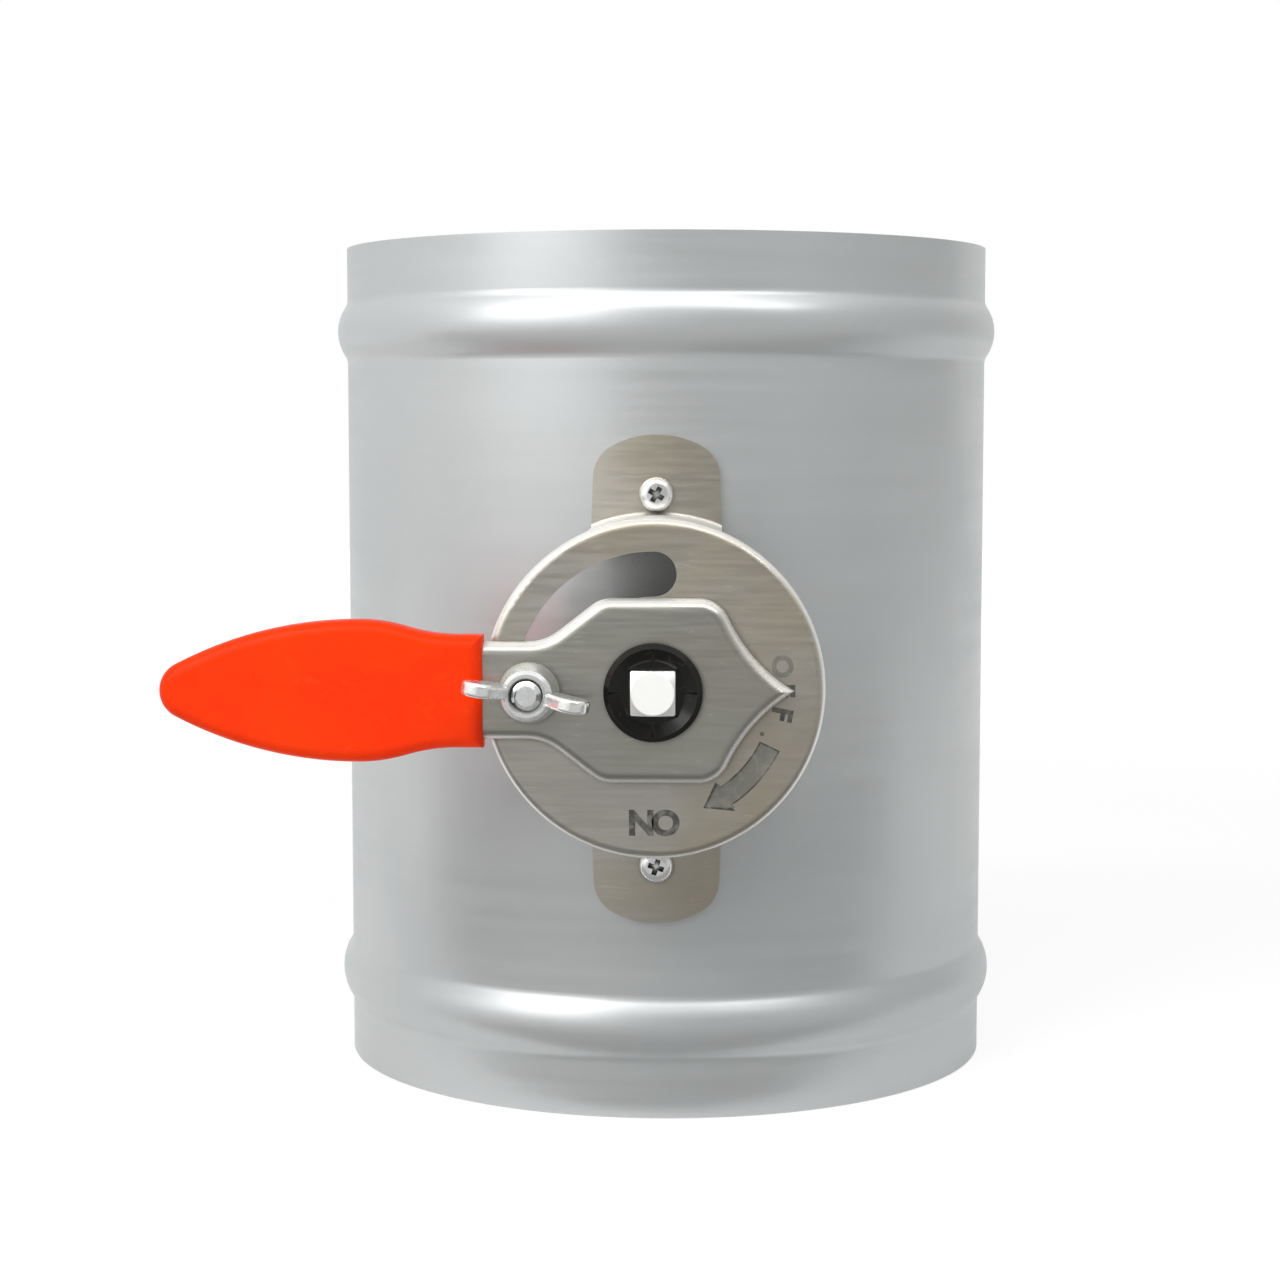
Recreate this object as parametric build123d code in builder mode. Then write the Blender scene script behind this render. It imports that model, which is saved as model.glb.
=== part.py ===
from build123d import *
import os
from math import atan, cos, degrees, radians, sin, sqrt, tan

# Round zone damper, in millimetres. The duct axis is Z, the origin is its centre at the lower rim,
# and the shaft runs along Y. "Forward" is the distance from the duct axis towards the front, which is -Y.

# Duct sleeve
duct_radius = 99.5
duct_length = 250.0
duct_wall = 0.8
bead_from_end = 25.5
bead_width = 19.5
bead_height = 3.0
bead_foot_radius = 4.0

# Play between pieces
running_play = 0.05
seat_play = 0.1
fit_play = 0.05

# Shaft
shaft_square = 12.0
shaft_edge = 0.5
shaft_end_radius = 5.7
shaft_end_angle = 30.0
shaft_front_reach = 1.9
shaft_rear_reach = 3.2

# Bearings and the bushes that run in them
bush_wall = 1.5
bearing_wall = 2.0
bearing_flange_rim = 4.0
bearing_flange_height = 3.0
bearing_lip = 0.6
bearing_inner_reach = 4.7
bush_flange_rim = 2.0
bush_flange_thickness = 2.2
bush_setback = 0.6

# Rear end of the shaft
thrust_washer_thickness = 1.2
thrust_washer_radius = 14.0
ring_thickness = 1.0
ring_groove_play = 0.05
ring_inner_radius = 7.2
ring_width = 2.4
ring_gap = 7.0
ring_lug_radius = 1.9
ring_lug_hole = 0.8

# Blade
blade_sheet = 1.0
blade_edge_setback = 4.0
blade_clamp_width = 14.0
blade_step_width = 3.0
blade_notch_play = 1.0
seal_play = 0.3
seal_thickness = 3.0
channel_corner = 1.4
rivet_inset = 9.35
rivet_radius = 2.0
rivet_head_radius = 3.6
rivet_head_height = 1.3
rivet_count = 8
blade_bolt_offset = 48.0
blade_bolt_radius = 3.0
blade_bolt_length = 22.0
blade_head_flats = 10.0
blade_head_height = 4.0
blade_nut_height = 5.0
blade_washer_radius = 6.0
blade_washer_thickness = 1.2

# Dial bracket
bracket_sheet = 1.5
dial_radius = 46.4
dial_standoff = 25.0
dial_rim_radius = 2.4
dial_rim_depth = 5.0
slot_shift = 1.9
slot_play = 0.25
leg_width = 36.4
foot_bend = 1.0
ear_inset = 0.6
ear_past_screw = 16.6
ear_end_radius = 26.0
ear_corner = 10.0

# Bracket screws
screw_from_leg = 0.9
screw_radius = 2.3
screw_head_radius = 4.8
screw_head_height = 3.2
screw_head_round = 2.4
screw_length = 13.0
screw_cross_width = 0.9
screw_cross_length = 4.0
screw_cross_depth = 2.0
screw_cross_taper = 8.0
screw_turns = (60.0, 73.0)

# Handle
handle_sheet = 1.5
handle_depth = 5.5
handle_shoulder = 3.3
handle_play = 0.3
handle_half_body = 24.9
handle_half_neck = 13.1
handle_tip = 37.7
handle_body_right = 18.0
handle_body_left = 14.3
handle_neck_start = 29.5
handle_tip_curve = 46.0
handle_right_corner = 8.5
handle_left_corner = 9.0
handle_neck_corner = 14.0
tang_in_grip = 62.0
tang_corner = 6.0

# Grip
grip_inside_rim = 0.6
grip_length = 87.6
grip_lead = 7.0
grip_mouth_half = 15.2
grip_belly_half = 19.2
grip_belly_at = 34.0
grip_thickness = 11.5
grip_tip_radius = 8.0
grip_edge = 3.8

# Hub insert
insert_lip_radius = 13.3
insert_lip_height = 3.0
insert_lip_edge = 1.4
insert_dish = 1.2
insert_shoulder_radius = 13.0
insert_key = 20.0
insert_key_corner = 3.0
insert_back_reach = 1.2
insert_slit_width = 0.7
insert_slit_length = 3.4
insert_slit_depth = 1.2

# Clamp bolt, its washers and the wing nut
bolt_from_rim = 13.2
bolt_radius = 4.0
bolt_length = 21.3
bolt_point = 0.6
bolt_head_flats = 13.0
bolt_head_height = 5.3
bolt_hole_play = 0.25
nut_washer_radius = 8.0
slot_washer_radius = 10.0
washer_bore = 4.25
washer_thickness = 1.6
nut_base_radius = 8.2
nut_top_radius = 6.8
nut_sink_radius = 5.2
nut_height = 10.0
nut_span = 34.2
nut_wing_radius = 4.7
nut_wing_centre = 12.4
nut_wing_root = 3.2
nut_wing_thickness = 3.8
nut_wing_edge = 1.0
nut_turn = -9.5

# Places that follow from the sizes
pivot = duct_length / 2
inner_radius = duct_radius - duct_wall
journal_radius = shaft_square / sqrt(2) + bush_wall
bore_radius = journal_radius + running_play
bearing_radius = bore_radius + bearing_wall
bearing_face = duct_radius + bearing_flange_height
bearing_end = inner_radius - bearing_inner_reach
bush_flange_radius = bearing_radius + bush_flange_rim
bush_end = bearing_end - seat_play - bush_flange_thickness
thrust_seat = bearing_face + seat_play
ring_seat = thrust_seat + thrust_washer_thickness + seat_play
shaft_rear = ring_seat + ring_thickness + shaft_rear_reach
seal_radius = inner_radius - seal_play
blade_radius = seal_radius - blade_edge_setback
seal_inner_radius = blade_radius - blade_clamp_width
channel_half = shaft_square / 2 + fit_play
blade_top = channel_half + blade_sheet
foot_back = duct_radius + fit_play
foot_face = foot_back + bracket_sheet
screw_offset = dial_radius + screw_from_leg + screw_head_radius
ear_reach = screw_offset + ear_past_screw
bolt_circle = dial_radius - bolt_from_rim
slot_circle = bolt_circle - slot_shift
slot_width = 2 * (bolt_radius + slot_shift + slot_play)
dial_face = duct_radius + dial_standoff
dial_back = dial_face - bracket_sheet
handle_rim = dial_face + handle_play
handle_face = handle_rim + handle_depth
handle_back = handle_face - handle_sheet
grip_mouth = dial_radius - grip_inside_rim
grip_middle = handle_rim + handle_depth / 2
insert_face = handle_face + insert_lip_height
shaft_front = insert_face + shaft_front_reach
bolt_seat = dial_back - seat_play - washer_thickness
nut_seat = handle_face + washer_thickness + 2 * fit_play
pivot_point = Vector(0, 0, pivot)
shaft_axis = Axis(pivot_point, (0, 1, 0))
front_section = Plane(origin=pivot_point, x_dir=(1, 0, 0), z_dir=(0, 0, -1))
rear_section = Plane(origin=pivot_point, x_dir=(1, 0, 0), z_dir=(0, 0, 1))


def forward(distance):
    """Plane square to the shaft, at a distance from the duct axis, looking out of the front."""
    return Plane(origin=(0, -distance, pivot), x_dir=(1, 0, 0), z_dir=(0, -1, 0))


def save(part, name):
    """Label a finished piece and write it as its own file."""
    part.label = name
    export_step(part, f"parts/{name}.step")


os.makedirs("parts", exist_ok=True)

# Duct sleeve: one turned sheet section with two swaged beads, each three arcs that run smoothly together
bead_angle = 2 * atan(bead_height / (bead_width / 2))
bead_reach = bead_width / 2 / sin(bead_angle)
bead_crown = bead_reach - bead_foot_radius
bead_swing = degrees(bead_angle)
bead_heights = (bead_from_end, duct_length - bead_from_end)


def sleeve_side(inset):
    """Draw one side of the sheet from the lower to the upper rim, inset from the outer face."""
    radius = duct_radius - inset
    start = (radius, 0)
    for middle in bead_heights:
        Line(start, (radius, middle - bead_width / 2))
        low_foot = (duct_radius + bead_foot_radius, middle - bead_width / 2)
        high_foot = (duct_radius + bead_foot_radius, middle + bead_width / 2)
        crown = (duct_radius + bead_height - bead_crown, middle)
        CenterArc(low_foot, bead_foot_radius + inset, 180, -bead_swing)
        CenterArc(crown, bead_crown - inset, -bead_swing, 2 * bead_swing)
        CenterArc(high_foot, bead_foot_radius + inset, 180 + bead_swing, -bead_swing)
        start = (radius, middle + bead_width / 2)
    Line(start, (radius, duct_length))


with BuildPart() as duct_sleeve:
    with BuildSketch(Plane.XZ):
        with BuildLine():
            sleeve_side(0)
            sleeve_side(duct_wall)
            Line((inner_radius, 0), (duct_radius, 0))
            Line((inner_radius, duct_length), (duct_radius, duct_length))
        make_face()
    revolve(axis=Axis.Z)
    with BuildSketch(forward(0)):
        Circle(bearing_radius + fit_play)
    extrude(amount=duct_radius + bead_height, both=True, mode=Mode.SUBTRACT)
    with BuildSketch(forward(0)):
        with GridLocations(0, 2 * screw_offset, 1, 2):
            Circle(screw_radius + fit_play)
    extrude(amount=duct_radius + bead_height, mode=Mode.SUBTRACT)
save(duct_sleeve.part, "duct_sleeve")

# The wall that the bearings grip: a tube about the duct axis with a little play on both faces
with BuildPart() as grip_wall:
    with BuildSketch():
        Circle(duct_radius + fit_play)
        Circle(inner_radius - fit_play, mode=Mode.SUBTRACT)
    extrude(amount=duct_length)
with BuildPart() as wall_ring:
    add(grip_wall.part)
    with BuildSketch(forward(0)):
        Circle(bearing_radius)
    extrude(amount=duct_radius + bead_height, both=True, mode=Mode.SUBTRACT)


def make_bearing(section):
    """Ring that snaps into the sleeve: its flange and lip are saddles that follow the wall."""
    with BuildPart() as bearing:
        with BuildSketch(section):
            with BuildLine():
                Polyline(
                    (bore_radius, bearing_end),
                    (bearing_radius, bearing_end),
                    (bearing_radius + bearing_lip, bearing_end + bearing_lip),
                    (bearing_radius + bearing_lip, inner_radius),
                    (bearing_radius + bearing_flange_rim, inner_radius),
                    (bearing_radius + bearing_flange_rim, bearing_face - bearing_lip),
                    (bearing_radius + bearing_flange_rim - bearing_lip, bearing_face),
                    (bore_radius, bearing_face),
                    close=True,
                )
            make_face()
        revolve(axis=shaft_axis)
        add(wall_ring.part, mode=Mode.SUBTRACT)
        inside = inner_radius - fit_play
        with BuildSketch(section):
            with Locations((bearing_radius + bearing_lip + bearing_flange_rim, inside - bearing_flange_rim)):
                Rectangle(2 * bearing_flange_rim, 2 * bearing_flange_rim)
        revolve(axis=shaft_axis, mode=Mode.SUBTRACT)
    return bearing.part


def make_bush(section):
    """Bush on the shaft: a journal that runs in the bearing, and a flange inside the duct."""
    with BuildPart() as bush:
        with BuildSketch(section):
            with BuildLine():
                Polyline(
                    (0, bush_end),
                    (bush_flange_radius, bush_end),
                    (bush_flange_radius, bush_end + bush_flange_thickness),
                    (journal_radius, bush_end + bush_flange_thickness),
                    (journal_radius, bearing_face - bush_setback),
                    (0, bearing_face - bush_setback),
                    close=True,
                )
            make_face()
        revolve(axis=shaft_axis)
        with BuildSketch(forward(0)):
            Rectangle(2 * channel_half, 2 * channel_half)
        extrude(amount=bearing_face, both=True, mode=Mode.SUBTRACT)
    return bush.part


save(make_bearing(front_section), "front_bearing")
save(make_bearing(rear_section), "rear_bearing")
save(make_bush(front_section), "front_bush")
save(make_bush(rear_section), "rear_bush")

# Square shaft, with a turned point in front and a turned groove behind
shaft_corner = shaft_square / sqrt(2)
with BuildPart() as square_shaft:
    with BuildSketch(forward(-shaft_rear)):
        Rectangle(shaft_square, shaft_square)
    extrude(amount=shaft_rear + shaft_front)
    fillet(square_shaft.edges().filter_by(Axis.Y), shaft_edge)
    point_drop = (shaft_corner - shaft_end_radius) * tan(radians(shaft_end_angle))
    with BuildSketch(front_section):
        with BuildLine():
            Polyline(
                (shaft_end_radius, shaft_front),
                (shaft_corner, shaft_front),
                (shaft_corner, shaft_front - point_drop),
                close=True,
            )
        make_face()
    revolve(axis=shaft_axis, mode=Mode.SUBTRACT)
    groove = ring_thickness + 2 * ring_groove_play
    with BuildSketch(rear_section):
        with Locations((ring_inner_radius - ring_groove_play, ring_seat - ring_groove_play)):
            Rectangle(shaft_corner, groove, align=(Align.MIN, Align.MIN))
    revolve(axis=shaft_axis, mode=Mode.SUBTRACT)
    with BuildSketch(Plane.XY.offset(pivot)):
        with GridLocations(0, 2 * blade_bolt_offset, 1, 2):
            Circle(blade_bolt_radius + fit_play)
    extrude(amount=shaft_square, both=True, mode=Mode.SUBTRACT)
save(square_shaft.part, "square_shaft")

# Thrust washer and retaining ring outside the rear bearing
with BuildPart() as thrust_washer:
    with BuildSketch(forward(-thrust_seat)):
        Circle(thrust_washer_radius)
        Circle(shaft_corner + fit_play, mode=Mode.SUBTRACT)
    extrude(amount=-thrust_washer_thickness)
save(thrust_washer.part, "thrust_washer")

ring_middle = ring_inner_radius + ring_width / 2
ring_lug_x = ring_gap / 2 + ring_lug_radius / 2
ring_lug_z = -sqrt((ring_inner_radius + ring_lug_radius + fit_play) ** 2 - ring_lug_x**2)
with BuildPart() as retaining_ring:
    with BuildSketch(forward(-ring_seat)):
        Circle(ring_inner_radius + ring_width)
        with Locations((-ring_lug_x, ring_lug_z), (ring_lug_x, ring_lug_z)):
            Circle(ring_lug_radius)
        Circle(ring_inner_radius, mode=Mode.SUBTRACT)
        with Locations((0, -ring_middle)):
            Rectangle(ring_gap - ring_lug_radius, 2 * ring_width + ring_lug_radius, mode=Mode.SUBTRACT)
        with Locations((-ring_lug_x, ring_lug_z), (ring_lug_x, ring_lug_z)):
            Circle(ring_lug_hole, mode=Mode.SUBTRACT)
    extrude(amount=-ring_thickness)
save(retaining_ring.part, "retaining_ring")

# Blade: two pressed discs that meet in the middle, step apart round the seal and carry half of the
# shaft channel each. The notches leave room for the bushes.
step_outer = seal_inner_radius - fit_play
step_inner = step_outer - blade_step_width
seal_half = seal_thickness / 2
notch_half = bush_flange_radius + blade_notch_play
notch_from = bush_end - running_play
rivet_circle = step_inner - rivet_inset
blade_plane = Plane.XY.offset(pivot)

# Outline of both bush notches
notch_depth = duct_radius - notch_from
with BuildSketch(blade_plane) as notches:
    with GridLocations(0, 2 * notch_from + notch_depth, 1, 2):
        Rectangle(2 * notch_half, notch_depth)

# Outline of the bolt holes and the rivet holes
with BuildSketch(blade_plane) as blade_holes:
    with GridLocations(0, 2 * blade_bolt_offset, 1, 2):
        Circle(blade_bolt_radius + fit_play)
    with PolarLocations(rivet_circle, rivet_count, start_angle=180 / rivet_count):
        Circle(rivet_radius + fit_play)

with BuildPart() as blade_upper:
    with BuildSketch(Plane.XZ.shift_origin((0, 0, pivot))):
        with BuildLine():
            Polyline(
                (0, 0),
                (step_inner, 0),
                (step_outer, seal_half),
                (blade_radius, seal_half),
                (blade_radius, seal_half + blade_sheet),
                (step_outer - blade_sheet / 2, seal_half + blade_sheet),
                (step_inner - blade_sheet / 2, blade_sheet),
                (0, blade_sheet),
                close=True,
            )
        make_face()
    revolve(axis=Axis.Z)
    with BuildSketch(forward(-notch_from)):
        with Locations((0, blade_top / 2)):
            Rectangle(2 * blade_top, blade_top)
        fillet(vertices().group_by(Axis.Y)[-1], channel_corner)
    extrude(amount=2 * notch_from)
    with BuildSketch(forward(-duct_radius)):
        Rectangle(2 * channel_half, 2 * channel_half)
    extrude(amount=2 * duct_radius, mode=Mode.SUBTRACT)
    extrude(notches.sketch, amount=blade_top, both=True, mode=Mode.SUBTRACT)
    extrude(blade_holes.sketch, amount=blade_top, both=True, mode=Mode.SUBTRACT)
save(blade_upper.part, "blade_upper")

with BuildPart() as blade_lower:
    add(mirror(blade_upper.part, about=blade_plane, mode=Mode.PRIVATE))
save(blade_lower.part, "blade_lower")

# Rubber seal: two half rings, clamped between the rims of the discs
with BuildPart() as blade_seal:
    with BuildSketch(blade_plane):
        Circle(seal_radius)
        Circle(seal_inner_radius, mode=Mode.SUBTRACT)
        Rectangle(2 * notch_half, 2 * duct_radius, mode=Mode.SUBTRACT)
    extrude(amount=seal_half, both=True)
save(blade_seal.part, "blade_seal")

# Blade rivets: a round head on each face of the closed discs
with BuildPart() as blade_rivets:
    with BuildSketch(blade_plane):
        with PolarLocations(rivet_circle, rivet_count, start_angle=180 / rivet_count):
            Circle(rivet_radius)
    extrude(amount=blade_sheet, both=True)
    for side in (1, -1):
        with BuildSketch(Plane.XY.offset(pivot + side * blade_sheet)):
            with PolarLocations(rivet_circle, rivet_count, start_angle=180 / rivet_count):
                Circle(rivet_head_radius)
        extrude(amount=side * rivet_head_height, taper=30)
save(blade_rivets.part, "blade_rivets")


def hexagon(flats):
    """Hexagon by its size across flats."""
    return RegularPolygon(flats / 2, 6, major_radius=False)


# Blade bolts, with the heads on the upper disc
blade_seat = pivot + blade_top
with BuildPart() as blade_bolts:
    with BuildSketch(Plane.XY.offset(blade_seat)):
        with GridLocations(0, 2 * blade_bolt_offset, 1, 2):
            hexagon(blade_head_flats)
    extrude(amount=blade_head_height)
    chamfer(blade_bolts.faces().sort_by(Axis.Z)[-2:].edges(), blade_head_height / 12)
    with BuildSketch(Plane.XY.offset(blade_seat)):
        with GridLocations(0, 2 * blade_bolt_offset, 1, 2):
            Circle(blade_bolt_radius)
    extrude(amount=-blade_bolt_length)
save(blade_bolts.part, "blade_bolts")

with BuildPart() as blade_washers:
    with BuildSketch(Plane.XY.offset(pivot - blade_top)):
        with GridLocations(0, 2 * blade_bolt_offset, 1, 2):
            Circle(blade_washer_radius)
            Circle(blade_bolt_radius + fit_play, mode=Mode.SUBTRACT)
    extrude(amount=-blade_washer_thickness)
save(blade_washers.part, "blade_washers")

with BuildPart() as blade_nuts:
    with BuildSketch(Plane.XY.offset(pivot - blade_top - blade_washer_thickness)):
        with GridLocations(0, 2 * blade_bolt_offset, 1, 2):
            hexagon(blade_head_flats)
            Circle(blade_bolt_radius + fit_play, mode=Mode.SUBTRACT)
    extrude(amount=-blade_nut_height)
save(blade_nuts.part, "blade_nuts")

# Dial bracket, one pressing. The hollow of the dial is made first, then cut out of the drawn cup.
leg_root = sqrt(duct_radius**2 - (leg_width / 2) ** 2)
leg_inner_radius = dial_radius - bracket_sheet
with BuildPart() as dial_hollow:
    with BuildSketch(forward(0)):
        Circle(leg_inner_radius)
    extrude(amount=dial_back)
    fillet(dial_hollow.faces().sort_by(Axis.Y)[0].edges(), dial_rim_radius - bracket_sheet)

# The feet follow the round of the duct, each ending in a wide arc
ear_half = leg_width / 2 - ear_inset
ear_corner_height = ear_reach - ear_end_radius + sqrt(ear_end_radius**2 - ear_half**2)
with BuildPart() as feet:
    with BuildSketch(forward(leg_root)):
        with BuildLine():
            Line((-leg_width / 2, 0), (-leg_width / 2, leg_inner_radius))
            Line((-leg_width / 2, leg_inner_radius), (-ear_half, ear_corner_height))
            ThreePointArc((-ear_half, ear_corner_height), (0, ear_reach), (ear_half, ear_corner_height))
            Line((ear_half, ear_corner_height), (leg_width / 2, leg_inner_radius))
            Line((leg_width / 2, leg_inner_radius), (leg_width / 2, 0))
            Line((leg_width / 2, 0), (-leg_width / 2, 0))
        make_face()
        fillet(vertices().group_by(Axis.Y)[-1], ear_corner)
        mirror(about=Plane.XZ)
        Circle(leg_inner_radius, mode=Mode.SUBTRACT)
        with GridLocations(0, 2 * screw_offset, 1, 2):
            Circle(screw_radius + fit_play, mode=Mode.SUBTRACT)
    extrude(amount=dial_standoff)
    with BuildSketch():
        Circle(foot_face)
        Circle(foot_back, mode=Mode.SUBTRACT)
    extrude(amount=duct_length, mode=Mode.INTERSECT)

with BuildPart() as dial_bracket:
    with BuildSketch(forward(leg_root - bracket_sheet)):
        Circle(dial_radius)
    extrude(amount=dial_face - leg_root + bracket_sheet)
    fillet(dial_bracket.faces().sort_by(Axis.Y)[0].edges(), dial_rim_radius)
    add(dial_hollow.part, mode=Mode.SUBTRACT)
    with BuildSketch(forward(leg_root - bracket_sheet)):
        Circle(2 * dial_radius)
        Rectangle(leg_width, 4 * dial_radius, mode=Mode.SUBTRACT)
    extrude(amount=dial_face - dial_rim_depth - leg_root + bracket_sheet, mode=Mode.SUBTRACT)
    with BuildSketch():
        Circle(foot_back)
    extrude(amount=duct_length, mode=Mode.SUBTRACT)
    add(feet.part)
    for end in (1, -1):
        outer_bend = Vector(0, -foot_face, pivot + end * dial_radius)
        inner_bend = Vector(0, -foot_back, pivot + end * leg_inner_radius)
        fillet(dial_bracket.edges().sort_by_distance(outer_bend)[0], foot_bend)
        fillet(dial_bracket.edges().sort_by_distance(inner_bend)[0], foot_bend + bracket_sheet)
    with BuildSketch(forward(dial_back)):
        Circle(bore_radius)
        with BuildLine() as slot_line:
            CenterArc((0, 0), slot_circle, 90, 90)
        SlotArc(slot_line.line.edges()[0], slot_width)
    extrude(amount=bracket_sheet, mode=Mode.SUBTRACT)
save(dial_bracket.part, "dial_bracket")

# Bracket screws: domed heads with a cross recess
head_seat = foot_face + fit_play
with BuildPart() as bracket_screws:
    for end, turn in zip((1, -1), screw_turns):
        screw_plane = forward(head_seat).shift_origin((0, -head_seat, pivot + end * screw_offset))
        with BuildSketch(screw_plane):
            Circle(screw_head_radius)
        extrude(amount=screw_head_height)
        head_top = screw_plane.offset(screw_head_height).origin
        circles = bracket_screws.edges().filter_by(GeomType.CIRCLE)
        fillet(circles.sort_by_distance(head_top)[0], screw_head_round)
        with BuildSketch(screw_plane):
            Circle(screw_radius)
        extrude(amount=-screw_length)
        with BuildSketch(screw_plane.offset(screw_head_height - screw_cross_depth)):
            Rectangle(screw_cross_length, screw_cross_width, rotation=turn)
            Rectangle(screw_cross_width, screw_cross_length, rotation=turn)
        extrude(amount=screw_cross_depth, taper=-screw_cross_taper, mode=Mode.SUBTRACT)
save(bracket_screws.part, "bracket_screws")

# Handle plate: a pressed tray with a drawn pointer and a tang for the grip
tang_end = grip_mouth + tang_in_grip


def handle_outline(inset):
    """Outline of the pressed handle, pointer to the right, with all corners but the pointer rounded."""
    rounds = (
        (-tang_end, handle_half_neck, tang_corner),
        (-handle_neck_start, handle_half_neck, handle_neck_corner),
        (-handle_body_left, handle_half_body, handle_left_corner),
        (handle_body_right, handle_half_body, handle_right_corner),
    )
    with BuildSketch(forward(handle_rim)) as outline:
        with BuildLine():
            Polyline((-tang_end, 0), *[(x, half) for x, half, _ in rounds])
            RadiusArc((handle_body_right, handle_half_body), (handle_tip, 0), -handle_tip_curve)
            Line((handle_tip, 0), (-tang_end, 0))
        make_face()
        mirror(about=Plane.XZ)
        for x, half, radius in rounds:
            for side in (1, -1):
                fillet(outline.vertices().sort_by_distance((x, side * half))[0], radius)
        if inset:
            offset(amount=-inset)
    return outline.sketch


with BuildPart() as tray_hollow:
    extrude(handle_outline(handle_sheet), amount=handle_depth - handle_sheet)
    fillet(tray_hollow.faces().sort_by(Axis.Y)[0].edges(), handle_shoulder - handle_sheet)

with BuildPart() as handle_plate:
    extrude(handle_outline(0), amount=handle_depth)
    fillet(handle_plate.faces().sort_by(Axis.Y)[0].edges(), handle_shoulder)
    add(tray_hollow.part, mode=Mode.SUBTRACT)
    with BuildSketch(forward(handle_back)):
        RectangleRounded(insert_key + 2 * fit_play, insert_key + 2 * fit_play, insert_key_corner)
        with Locations((-bolt_circle, 0)):
            Circle(bolt_radius + bolt_hole_play)
    extrude(amount=handle_sheet, mode=Mode.SUBTRACT)
save(handle_plate.part, "handle_plate")

# Grip: a soft sleeve with a full belly, drawn over the tang
with BuildPart() as tang_hollow:
    with BuildSketch(forward(handle_rim - fit_play)):
        with Locations((-grip_mouth + handle_half_neck, 0)):
            RectangleRounded(
                tang_in_grip + handle_half_neck + fit_play,
                2 * (handle_half_neck + fit_play),
                tang_corner,
                align=(Align.MAX, Align.CENTER),
            )
    extrude(amount=handle_depth + 2 * fit_play)
    fillet(tang_hollow.faces().sort_by(Axis.Y)[0].edges(), handle_shoulder)

# Each side is a straight mouth, two arcs that swell to the belly, a long arc and the tip's arc, all smooth
grip_tip = -grip_mouth - grip_length
lead_end = (-grip_mouth - grip_lead, grip_mouth_half)
belly = (-grip_mouth - grip_belly_at, grip_belly_half)
swell = ((lead_end[0] + belly[0]) / 2, (lead_end[1] + belly[1]) / 2)
side_span = belly[0] - grip_tip - grip_tip_radius
side_drop = grip_belly_half - grip_tip_radius
side_radius = (side_span**2 + grip_belly_half**2 - grip_tip_radius**2) / 2 / side_drop
tip_share = grip_tip_radius / (side_radius - grip_tip_radius)
tip_start = (grip_tip + grip_tip_radius - tip_share * side_span, tip_share * (side_radius - grip_belly_half))
with BuildPart() as handle_grip:
    with BuildSketch(forward(grip_middle)):
        with BuildLine():
            Polyline((-grip_mouth, 0), (-grip_mouth, grip_mouth_half), lead_end)
            TangentArc(lead_end, swell, tangent=(-1, 0))
            TangentArc(swell, belly, tangent=(1, 0), tangent_from_first=False)
            TangentArc(belly, tip_start, tangent=(-1, 0))
            TangentArc(tip_start, (grip_tip, 0), tangent=(0, 1), tangent_from_first=False)
            Line((grip_tip, 0), (-grip_mouth, 0))
        make_face()
        mirror(about=Plane.XZ)
    extrude(amount=grip_thickness / 2, both=True)
    fillet(handle_grip.faces().sort_by(Axis.Y)[0].edges(), grip_edge)
    fillet(handle_grip.faces().sort_by(Axis.Y)[-1].edges(), grip_edge)
    add(tang_hollow.part, mode=Mode.SUBTRACT)
save(handle_grip.part, "handle_grip")

# Hub insert: journal in the dial, shoulder, square key in the handle, and a dished lip with four slits
insert_back = dial_back - insert_back_reach
lip_inner = shaft_corner + fit_play
with BuildPart() as hub_insert:
    with BuildSketch(front_section):
        with BuildLine():
            Polyline(
                (0, insert_back),
                (journal_radius, insert_back),
                (journal_radius, handle_rim),
                (insert_shoulder_radius, handle_rim),
                (insert_shoulder_radius, handle_back - fit_play),
                (insert_key / 2, handle_back - fit_play),
                (insert_key / 2, handle_face + fit_play),
                (insert_lip_radius, handle_face + fit_play),
                (insert_lip_radius, insert_face - insert_lip_edge),
                (insert_lip_radius - insert_lip_edge, insert_face),
                (lip_inner, insert_face - insert_dish),
                (0, insert_face - insert_dish),
                close=True,
            )
        make_face()
    revolve(axis=shaft_axis)
    with BuildSketch(forward(handle_back - fit_play)):
        RectangleRounded(insert_key, insert_key, insert_key_corner)
    extrude(amount=handle_sheet + 2 * fit_play)
    with BuildSketch(forward(insert_back)):
        Rectangle(2 * channel_half, 2 * channel_half)
    extrude(amount=insert_face - insert_back, mode=Mode.SUBTRACT)
    with BuildSketch(forward(insert_face)):
        with PolarLocations(lip_inner + insert_slit_length / 2, 4):
            Rectangle(insert_slit_length, insert_slit_width)
    extrude(amount=-insert_slit_depth, mode=Mode.SUBTRACT)
save(hub_insert.part, "hub_insert")

# Clamp bolt, with its head and washer behind the dial and its end in the wing nut
def bolt_plane(distance):
    """Plane square to the clamp bolt and centred on it."""
    return Plane(origin=(-bolt_circle, -distance, pivot), x_dir=(1, 0, 0), z_dir=(0, -1, 0))


with BuildPart() as clamp_bolt:
    with BuildSketch(bolt_plane(bolt_seat - bolt_head_height)):
        hexagon(bolt_head_flats)
    extrude(amount=bolt_head_height - fit_play)
    with BuildSketch(bolt_plane(bolt_seat - bolt_head_height)):
        Circle(bolt_radius)
    extrude(amount=bolt_head_height + bolt_length)
    chamfer(clamp_bolt.faces().sort_by(Axis.Y)[0].edges(), bolt_point)
save(clamp_bolt.part, "clamp_bolt")


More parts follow.
